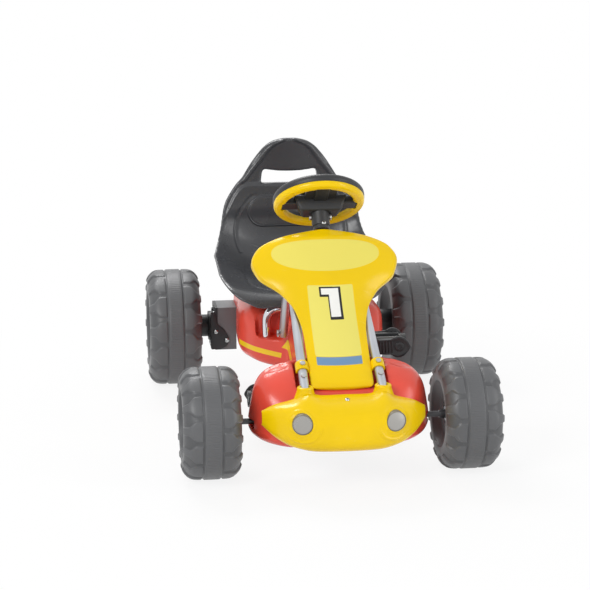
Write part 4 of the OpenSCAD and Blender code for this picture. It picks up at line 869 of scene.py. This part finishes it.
def pedal_face(side, middle, front):
    y, high = middle[0] + front * 30.6, middle[1]
    face = plate("pedal_face", [(x * side, high + z) for x, z in pedal_outline], y, 3.6, 2.5)
    cut_with(face, plate("hollow", [(x * side, high + z) for x, z in hollow_outline], y + front * 1.8, 2.8, 2))
    break_edges(face, 0.5)
    parts = [face]
    for x in (87, 92.5, 98, 103.5):
        low_x, high_x = sorted(((x - 1) * side, (x + 1) * side))
        low_y, high_y = sorted((y, y + front * 1.8))
        parts.append(rounded_box("rib", (low_x, low_y, high - 10), (high_x, high_y, high + 10), 0.5))
    at = Matrix.Translation((116 * side, y + front * 0.2, high)) @ spin(-90 * front, "X")
    parts.append(turned("boss", [(4.4, 0), (8, 0)] + fillet(7.4, 1.4, 0.6, 0, 90, 3) + [(4.4, 2), (4.4, 0)], 40, at))
    return parts


for i, (side, middle) in enumerate(((1, (-192.9, 197.2)), (-1, (-79.1, 70.8)))):
    pedals[i] = join(pedals[i].name, pedals[i], *pedal_face(side, middle, -1), *pedal_face(side, middle, 1))
    soften(pedals[i], 35)
    print(pedals[i].name, "has", triangles(pedals[i]), "triangles with its tread faces")
shown = [node for node in frame["nodes"] if not frame["nodes"][node].hide_render]
print("nodes still shown as they are:", shown)

# %% [markdown]
# ## Shared surface effects
# Moulded plastic is never one flat colour: it has a fine spark-eroded grain, slow differences in tone, and light scuffs
# where feet, hands and the floor rub. Three node groups hold these, so each finish only chooses how much of them it shows.

# %% Node helpers
def linear(red, green, blue):
    return tuple(((c / 255 + 0.055) / 1.055) ** 2.4 if c > 10.3 else c / 255 / 12.92 for c in (red, green, blue)) + (1,)


def add(tree, kind, x, y, **settings):
    node = tree.nodes.new(kind)
    node.location = (x, y)
    for name, value in settings.items():
        setattr(node, name, value)
    return node


def put(tree, node, **values):
    for name, value in values.items():
        by_number = name[0] == "i" and name[1:].isdigit()
        socket = node.inputs[int(name[1:]) if by_number else name.replace("_", " ")]
        if isinstance(value, bpy.types.NodeSocket):
            tree.links.new(value, socket)
        else:
            socket.default_value = value
    return node


def sums(tree, how, a, b=0.0, c=0.0, x=0, y=0):
    return put(tree, add(tree, "ShaderNodeMath", x, y, operation=how), i0=a, i1=b, i2=c).outputs[0]


def blend(tree, factor, a, b, x=0, y=0):
    node = add(tree, "ShaderNodeMix", x, y, data_type="RGBA")
    put(tree, node, i0=factor, i6=a, i7=b)
    return node.outputs[2]


def ramp(tree, value, low, high, to_low=0.0, to_high=1.0, x=0, y=0):
    node = add(tree, "ShaderNodeMapRange", x, y, clamp=True)
    return put(tree, node, i0=value, i1=low, i2=high, i3=to_low, i4=to_high).outputs[0]


def length_of(tree, a, b):
    return sums(tree, "SQRT", sums(tree, "ADD", sums(tree, "MULTIPLY", a, a), sums(tree, "MULTIPLY", b, b)))


def axes_of(tree, place):
    return put(tree, add(tree, "ShaderNodeSeparateXYZ", -800, -500), i0=place.outputs["Object"]).outputs


def seen_rays(tree):
    rays = add(tree, "ShaderNodeLightPath", -600, 200).outputs
    return sums(tree, "MAXIMUM", rays["Is Camera Ray"],
                sums(tree, "MAXIMUM", rays["Is Glossy Ray"], rays["Is Transmission Ray"]))


def new_group(name, inputs, outputs):
    tree = bpy.data.node_groups.new(name, "ShaderNodeTree")
    for label, kind, value in inputs:
        socket = tree.interface.new_socket(label, in_out="INPUT", socket_type=kind)
        if value is not None:
            socket.default_value = value
    for label in outputs:
        tree.interface.new_socket(label, in_out="OUTPUT", socket_type="NodeSocketFloat")
    start = add(tree, "NodeGroupInput", -900, 0)
    end = add(tree, "NodeGroupOutput", 600, 0)
    return tree, start.outputs, end


# %% Moulded grain
VECTOR, FLOAT = "NodeSocketVector", "NodeSocketFloat"
grain, given, out = new_group("moulded_grain", [("Vector", VECTOR, None), ("Grain", FLOAT, 900.0), ("Patch", FLOAT, 9.0)],
                              ["Height", "Tone"])
fine = put(grain, add(grain, "ShaderNodeTexNoise", -600, 200), Vector=given["Vector"], Scale=given["Grain"], Detail=2.0)
cells = put(grain, add(grain, "ShaderNodeTexVoronoi", -600, -60), Vector=given["Vector"], Scale=given["Grain"])
slow = put(grain, add(grain, "ShaderNodeTexNoise", -600, -320), Vector=given["Vector"], Scale=given["Patch"], Detail=3.0)
put(grain, out, Height=sums(grain, "ADD", fine.outputs[0], cells.outputs[0], x=-200, y=100),
    Tone=ramp(grain, slow.outputs[0], 0.3, 0.7))
print("group", grain.name)

# %% Handling wear
wear, given, out = new_group("handling_wear", [("Vector", VECTOR, None), ("Density", FLOAT, 30.0), ("Amount", FLOAT, 0.4)],
                             ["Scuff", "Dust"])
drawn_out = put(wear, add(wear, "ShaderNodeMapping", -700, 200), Vector=given["Vector"], Rotation=(0.3, 0.5, 0.6),
                Scale=(1.0, 9.0, 1.0))
streaks = put(wear, add(wear, "ShaderNodeTexNoise", -450, 200), Vector=drawn_out.outputs[0], Scale=given["Density"],
              Detail=5.0, Roughness=0.7)
where = put(wear, add(wear, "ShaderNodeTexNoise", -450, -60), Vector=given["Vector"], Scale=7.0, Detail=2.0)
lines = ramp(wear, streaks.outputs[0], 0.62, 0.72, x=-200, y=200)
zones = ramp(wear, where.outputs[0], 0.45, 0.65, x=-200, y=-60)
scuff = sums(wear, "MULTIPLY", sums(wear, "MULTIPLY", lines, zones), given["Amount"])
specks = put(wear, add(wear, "ShaderNodeTexNoise", -450, -320), Vector=given["Vector"], Scale=22.0, Detail=6.0,
             Roughness=0.75)
dust = sums(wear, "MULTIPLY", ramp(wear, specks.outputs[0], 0.48, 0.75), given["Amount"])
put(wear, out, Scuff=scuff, Dust=dust)
print("group", wear.name)

# %% Flat prints
printed, given, out = new_group(
    "flat_print", [("Across", FLOAT, 0.0), ("Up", FLOAT, 0.0), ("Centre Across", FLOAT, 0.0), ("Centre Up", FLOAT, 0.0),
                   ("Half Across", FLOAT, 10.0), ("Half Up", FLOAT, 10.0), ("Corner", FLOAT, 2.0), ("Turn", FLOAT, 0.0)],
    ["Mask"])
shift_a = sums(printed, "MULTIPLY_ADD", given["Across"], 1000.0, sums(printed, "MULTIPLY", given["Centre Across"], -1.0))
shift_u = sums(printed, "MULTIPLY_ADD", given["Up"], 1000.0, sums(printed, "MULTIPLY", given["Centre Up"], -1.0))
flat = put(printed, add(printed, "ShaderNodeCombineXYZ", -600, 0), i0=shift_a, i1=shift_u)
spun = put(printed, add(printed, "ShaderNodeVectorRotate", -450, 0, rotation_type="Z_AXIS"), Vector=flat.outputs[0],
           Angle=given["Turn"])
parts = put(printed, add(printed, "ShaderNodeSeparateXYZ", -300, 0), i0=spun.outputs[0])
sides = []
for axis, half in ((0, given["Half Across"]), (1, given["Half Up"])):
    over = sums(printed, "SUBTRACT", sums(printed, "ABSOLUTE", parts.outputs[axis]), half)
    sides.append(sums(printed, "MAXIMUM", sums(printed, "ADD", over, given["Corner"]), 0.0))
reach = length_of(printed, *sides)
put(printed, out, Mask=ramp(printed, sums(printed, "SUBTRACT", reach, given["Corner"]), -0.25, 0.25, 1.0, 0.0))
print("group", printed.name)

# %% [markdown]
# ## Finishes
# Every plastic is a Principled shader whose colour, roughness and bump come from the groups; every metal is the same with
# Metallic at one. Values that are the same all over stay on the shader's own sockets. The yellow reflects less than the
# rest, since white reflections would wash its colour out.

# %% Finish builder
def start_finish(name, grain_size, patch, density, amount):
    material = bpy.data.materials.new(name)
    material.use_nodes = True
    tree = material.node_tree
    tree.nodes.clear()
    shader = add(tree, "ShaderNodeBsdfPrincipled", 500, 0)
    end = add(tree, "ShaderNodeOutputMaterial", 800, 0)
    tree.links.new(shader.outputs[0], end.inputs[0])
    place = add(tree, "ShaderNodeTexCoord", -900, 0)
    texture = add(tree, "ShaderNodeGroup", -650, 150, node_tree=grain)
    put(tree, texture, Vector=place.outputs["Object"], Grain=grain_size, Patch=patch)
    rub = add(tree, "ShaderNodeGroup", -650, -150, node_tree=wear)
    put(tree, rub, Vector=place.outputs["Object"], Density=density, Amount=amount)
    return material, tree, shader, place, texture, rub


def colour_of(tree, texture, rub, dark, light, scuffed):
    base = blend(tree, texture.outputs["Tone"], dark, light, -350, 200)
    return blend(tree, rub.outputs["Scuff"], base, scuffed, -150, 200)


def close_finish(tree, shader, texture, rub, colour, smooth, rough, bump, deep):
    level = ramp(tree, texture.outputs["Tone"], 0.0, 1.0, smooth, rough, -350, -100)
    level = sums(tree, "MULTIPLY_ADD", rub.outputs["Scuff"], 0.25, level, -150, -100)
    level = sums(tree, "MULTIPLY_ADD", rub.outputs["Dust"], 0.12, level, 50, -100)
    relief = put(tree, add(tree, "ShaderNodeBump", 250, -300), Strength=bump, Distance=deep,
                 Height=texture.outputs["Height"])
    put(tree, shader, Base_Color=colour, Roughness=level, Normal=relief.outputs[0])


def shade(colour, factor):
    return tuple(min(1, c * factor) for c in colour[:3]) + (1,)


yellow, yellow_shine = linear(246, 206, 4), 0.25


def plastic(name, colour, smooth, rough, scuffed, grain_size=900.0, bump=0.12, amount=0.4, density=30.0, shine=0.5):
    material, tree, shader, place, texture, rub = start_finish(name, grain_size, 8.0, density, amount)
    paint = colour_of(tree, texture, rub, shade(colour, 0.93), shade(colour, 1.05), scuffed)
    close_finish(tree, shader, texture, rub, paint, smooth, rough, bump, 0.0004)
    shader.inputs["Specular IOR Level"].default_value = shine
    return material


def metal(name, colour, smooth, rough, scuffed, grain_size=600.0, bump=0.05, amount=0.3, density=60.0):
    material, tree, shader, place, texture, rub = start_finish(name, grain_size, 14.0, density, amount)
    paint = colour_of(tree, texture, rub, shade(colour, 0.9), shade(colour, 1.06), scuffed)
    close_finish(tree, shader, texture, rub, paint, smooth, rough, bump, 0.0002)
    shader.inputs["Metallic"].default_value = 1.0
    return material


def tyre(name, y, z, middle, radius, width):
    material, tree, shader, place, texture, rub = start_finish(name, 700.0, 8.0, 24.0, 0.6)
    grey = linear(94, 95, 97)
    paint = colour_of(tree, texture, rub, shade(grey, 0.92), shade(grey, 1.06), linear(150, 148, 144))
    axes = axes_of(tree, place)
    back, up = sums(tree, "SUBTRACT", axes[1], y), sums(tree, "SUBTRACT", axes[2], z)
    reach = length_of(tree, back, up)
    beside = sums(tree, "ABSOLUTE", sums(tree, "SUBTRACT", sums(tree, "ABSOLUTE", axes[0]), middle))
    over = sums(tree, "MAXIMUM", sums(tree, "SUBTRACT", reach, radius - 0.0285), 0.0)
    out = sums(tree, "MAXIMUM", sums(tree, "SUBTRACT", beside, width / 2 - 0.03), 0.0)
    proud = length_of(tree, over, out)
    # painted shade: everywhere below the raised blocks and band (grooves between blocks, sidewall, rim) the tyre is
    # painted a darker grey than its own plastic
    paint = blend(tree, ramp(tree, proud, 0.0260, 0.0278), linear(82, 83, 85), paint)
    close_finish(tree, shader, texture, rub, paint, 0.36, 0.48, 0.2, 0.0004)
    ticks = sums(tree, "SINE", sums(tree, "MULTIPLY", sums(tree, "ARCTAN2", back, up), 140.0))
    ticks = sums(tree, "MULTIPLY", ticks, ramp(tree, beside, 0.0105, 0.0115, 1.0, 0.0))
    ticked = put(tree, add(tree, "ShaderNodeBump", 0, -600), Strength=0.3, Distance=0.0004, Height=ticks)
    put(tree, shader.inputs["Normal"].links[0].from_node, Normal=ticked.outputs[0])
    return material


front_tyre_finish = tyre("front_tyre_plastic", -0.291, 0.095, 0.219, 0.095, 0.104)
rear_tyre_finish = tyre("rear_tyre_plastic", 0.299, 0.115, 0.241, 0.115, 0.108)
seat_finish, tree, shader, place, texture, rub = start_finish("charcoal_seat", 1100.0, 8.0, 30.0, 0.35)
charcoal = linear(64, 65, 68)
paint = colour_of(tree, texture, rub, shade(charcoal, 0.93), shade(charcoal, 1.05), linear(112, 112, 112))
close_finish(tree, shader, texture, rub, paint, 0.2, 0.3, 0.14, 0.0004)
axes = axes_of(tree, place)
long_way = sums(tree, "MAXIMUM", sums(tree, "SUBTRACT", sums(tree, "ABSOLUTE", axes[0]), 0.054), 0.0)
high_way = sums(tree, "SUBTRACT", axes[2], 0.338)
off_line = sums(tree, "ABSOLUTE", sums(tree, "SUBTRACT", length_of(tree, long_way, high_way), 0.0305))
bead = sums(tree, "MULTIPLY", ramp(tree, off_line, 0.0006, 0.002, 1.0, 0.0),
            sums(tree, "LESS_THAN", axes[1], 0.352))
beaded = put(tree, add(tree, "ShaderNodeBump", 0, -600), Strength=0.8, Distance=0.0015, Height=bead)
put(tree, shader.inputs["Normal"].links[0].from_node, Normal=beaded.outputs[0])
black_finish = plastic("black_plastic", linear(38, 39, 41), 0.36, 0.5, linear(92, 92, 92), 1000.0, 0.2, 0.4, 36.0)
pad_finish = plastic("grey_trim", linear(92, 94, 97), 0.45, 0.58, linear(130, 130, 130), 1100.0, 0.3, 0.3, 30.0)
yellow_finish = plastic("yellow_cover", yellow, 0.15, 0.24, linear(252, 226, 110), 800.0, 0.06, 0.3, 28.0,
                        yellow_shine)
rim_finish = plastic("lamp_rim", linear(120, 116, 104), 0.3, 0.4, linear(120, 120, 120), 900.0, 0.1, 0.3, 40.0)
tube_finish = metal("silver_tube", linear(186, 189, 194), 0.28, 0.4, linear(150, 150, 150), 700.0, 0.08)
chrome_finish = metal("chrome_tube", linear(222, 224, 228), 0.07, 0.14, linear(170, 170, 170), 500.0, 0.02, 0.25)
lamp_finish = metal("lamp_silver", linear(172, 170, 166), 0.22, 0.34, linear(170, 170, 170), 420.0, 0.12, 0.2)
cap_finish = metal("cap_silver", linear(205, 207, 211), 0.16, 0.28, linear(160, 160, 160), 600.0, 0.04, 0.35)
dark_finish = metal("dark_steel", linear(84, 84, 86), 0.36, 0.52, linear(140, 138, 134), 700.0, 0.1, 0.4)
black_steel_finish = plastic("black_steel", linear(108, 109, 111), 0.34, 0.46, linear(120, 118, 114), 1200.0, 0.22, 0.35,
                             44.0)
zinc_finish = metal("zinc_steel", linear(190, 192, 192), 0.24, 0.4, linear(140, 140, 138), 700.0, 0.06, 0.35)
print("finishes", len(bpy.data.materials))

# %% [markdown]
# The red body carries a yellow stripe on the foot of the tub and a small yellow flash on the tunnel's side; both are
# stickers. The hood carries a pale oval, a pale plate with a plain number one, and a blue bar. They are masks on the
# piece's own coordinates, so they stay put from every side.

# %% Red body finish
def place_print(tree, across, up, centre, half, corner, turn=0.0):
    node = add(tree, "ShaderNodeGroup", -500, -600, node_tree=printed)
    put(tree, node, Across=across, Up=up, Centre_Across=centre[0], Centre_Up=centre[1], Half_Across=half[0], Half_Up=half[1],
        Corner=corner, Turn=turn)
    return node.outputs["Mask"]


red_finish, tree, shader, place, texture, rub = start_finish("red_body", 800.0, 8.0, 28.0, 0.35)
red = linear(232, 78, 60)
paint = colour_of(tree, texture, rub, shade(red, 0.92), shade(red, 1.05), linear(228, 120, 104))
axes = axes_of(tree, place)
beside = sums(tree, "ABSOLUTE", axes[0])
sticker = linear(246, 205, 20)
stripe = place_print(tree, beside, axes[2], (90.0, 117.0), (37.0, 4.8), 1.0, -0.14)
stripe = sums(tree, "MULTIPLY", stripe, sums(tree, "GREATER_THAN", axes[1], 0.052))
stripe = sums(tree, "MULTIPLY", stripe, sums(tree, "LESS_THAN", axes[1], 0.14))
flash = place_print(tree, axes[1], axes[2], (24.0, 124.0), (34.0, 9.0), 1.0, -0.35)
flash = sums(tree, "MULTIPLY", flash, sums(tree, "LESS_THAN", beside, 0.06))
flash = sums(tree, "MULTIPLY", flash, sums(tree, "GREATER_THAN", beside, 0.03))
paint = blend(tree, sums(tree, "MAXIMUM", stripe, flash), paint, sticker)
close_finish(tree, shader, texture, rub, paint, 0.17, 0.28, 0.05, 0.0004)

# %% Hood finish
hood_finish, tree, shader, place, texture, rub = start_finish("yellow_hood", 800.0, 8.0, 28.0, 0.3)
paint = colour_of(tree, texture, rub, shade(yellow, 0.95), shade(yellow, 1.04), linear(252, 226, 110))
x, y, z = axes_of(tree, place)
oval_x = sums(tree, "POWER", sums(tree, "ABSOLUTE", sums(tree, "MULTIPLY", x, 1000 / 95)), 2.3)
oval_z = sums(tree, "POWER", sums(tree, "ABSOLUTE", sums(tree, "MULTIPLY_ADD", z, 1000 / 23.5, -346.5 / 23.5)), 2.3)
oval = ramp(tree, sums(tree, "ADD", oval_x, oval_z), 0.985, 1.015, 1.0, 0.0)
panel = place_print(tree, x, z, (0.0, 252.5), (39.5, 49.5), 3.0)
bar = place_print(tree, x, z, (0.0, 197.0), (38.5, 5.4), 1.0)
stem = place_print(tree, x, z, (4.5, 277.0), (8.5, 20.5), 0.6)
flag = place_print(tree, x, z, (-8.0, 293.0), (9.0, 4.5), 0.6)
stem_edge = place_print(tree, x, z, (5.5, 276.0), (11.6, 23.6), 1.0)
flag_edge = place_print(tree, x, z, (-8.0, 292.4), (12.2, 7.4), 1.0)
paint = blend(tree, oval, paint, linear(240, 226, 104))
paint = blend(tree, panel, paint, linear(240, 228, 112))
paint = blend(tree, bar, paint, linear(116, 150, 186))
paint = blend(tree, sums(tree, "MAXIMUM", stem_edge, flag_edge), paint, linear(40, 40, 44))
paint = blend(tree, sums(tree, "MAXIMUM", stem, flag), paint, linear(246, 246, 242))
close_finish(tree, shader, texture, rub, paint, 0.15, 0.24, 0.05, 0.0004)
shader.inputs["Specular IOR Level"].default_value = yellow_shine

# %% Put the finishes on
def paint_with(material, *pieces):
    for piece in pieces:
        piece.data.materials.clear()
        piece.data.materials.append(material)


paint_with(red_finish, body)
paint_with(hood_finish, hood)
paint_with(yellow_finish, bumper, ring)
paint_with(seat_finish, seat)
paint_with(front_tyre_finish, *front_wheels)
paint_with(rear_tyre_finish, *rear_wheels)
paint_with(cap_finish, *caps, *hub_rings)
paint_with(tube_finish, *tubes)
paint_with(chrome_finish, seat_loop)
paint_with(black_finish, steering, *pedals, *gussets, *gear["black_plastic"])
paint_with(pad_finish, pad)
paint_with(dark_finish, *gear["dark_steel"])
paint_with(black_steel_finish, *gear["black_steel"])
paint_with(zinc_finish, bumper_screw, hub_screw, *gusset_screws, *gear["zinc_steel"])
for side, lamp in zip((1, -1), lamps):
    paint_with(lamp_finish, lamp)
    lamp.data.materials.append(rim_finish)
    back = lamp_at[side].inverted()
    for face in lamp.data.polygons:
        local = back @ (face.center / MM)
        face.material_index = 1 if math.hypot(local.x, local.y) > 15.45 else 0

# %% [markdown]
# ## Floor and light
# A pale seamless floor and large soft lamps, as in a product studio. For the camera the floor is mixed towards white,
# and it keeps a soft contact shadow so the kart stands on something.

# %% Stage
bpy.ops.object.select_all(action="DESELECT")
bpy.ops.mesh.primitive_plane_add(size=80)
floor = bpy.context.object
floor.name = "studio_floor"
floor_finish = bpy.data.materials.new("studio_floor")
floor_finish.use_nodes = True
tree = floor_finish.node_tree
tree.nodes.clear()
matt = put(tree, add(tree, "ShaderNodeBsdfDiffuse", 0, 100), Color=(0.9, 0.9, 0.9, 1))
white = put(tree, add(tree, "ShaderNodeEmission", 0, -100), Color=(1, 1, 1, 1), Strength=1.0)
place = add(tree, "ShaderNodeTexCoord", -900, -200)
away = put(tree, add(tree, "ShaderNodeVectorMath", -700, -200, operation="LENGTH"), i0=place.outputs["Object"])
fade = ramp(tree, away.outputs["Value"], 0.45, 0.95, 0.87, 1.0)
mixed = add(tree, "ShaderNodeMixShader", 250, 0)
put(tree, mixed, i0=sums(tree, "MULTIPLY", seen_rays(tree), fade), i1=matt.outputs[0], i2=white.outputs[0])
tree.links.new(mixed.outputs[0], add(tree, "ShaderNodeOutputMaterial", 500, 0).inputs[0])
floor.data.materials.append(floor_finish)

world = bpy.data.worlds.new("studio")
bpy.context.scene.world = world
world.use_nodes = True
tree = world.node_tree
tree.nodes.clear()
sky_light, sky_seen = 0.42, 1.0
sky = put(tree, add(tree, "ShaderNodeBackground", 0, 0), Color=(1, 1, 1, 1),
          Strength=ramp(tree, seen_rays(tree), 0.0, 1.0, sky_light, sky_seen))
tree.links.new(sky.outputs[0], add(tree, "ShaderNodeOutputWorld", 250, 0).inputs[0])


# %% Lamps
def softbox(name, place, size, watts):
    bpy.ops.object.select_all(action="DESELECT")
    way = Vector(place) - Vector((0, 0, 0.2))
    bpy.ops.object.light_add(type="AREA", location=place, rotation=way.to_track_quat("Z", "Y").to_euler())
    light = bpy.context.object
    light.name = name
    light.data.shape = "RECTANGLE"
    light.data.size, light.data.size_y = size
    light.data.energy = watts
    return light


softbox("key_softbox", (-1.9, -2.1, 2.0), (1.3, 1.0), 46)
softbox("back_softbox", (-0.6, 1.6, 2.3), (1.6, 0.8), 40)
softbox("fill_softbox", (2.2, -1.4, 1.6), (0.6, 1.5), 13)
softbox("low_strip", (2.0, -1.5, 0.45), (0.35, 1.0), 7)
bpy.context.scene.view_settings.view_transform = "Standard"
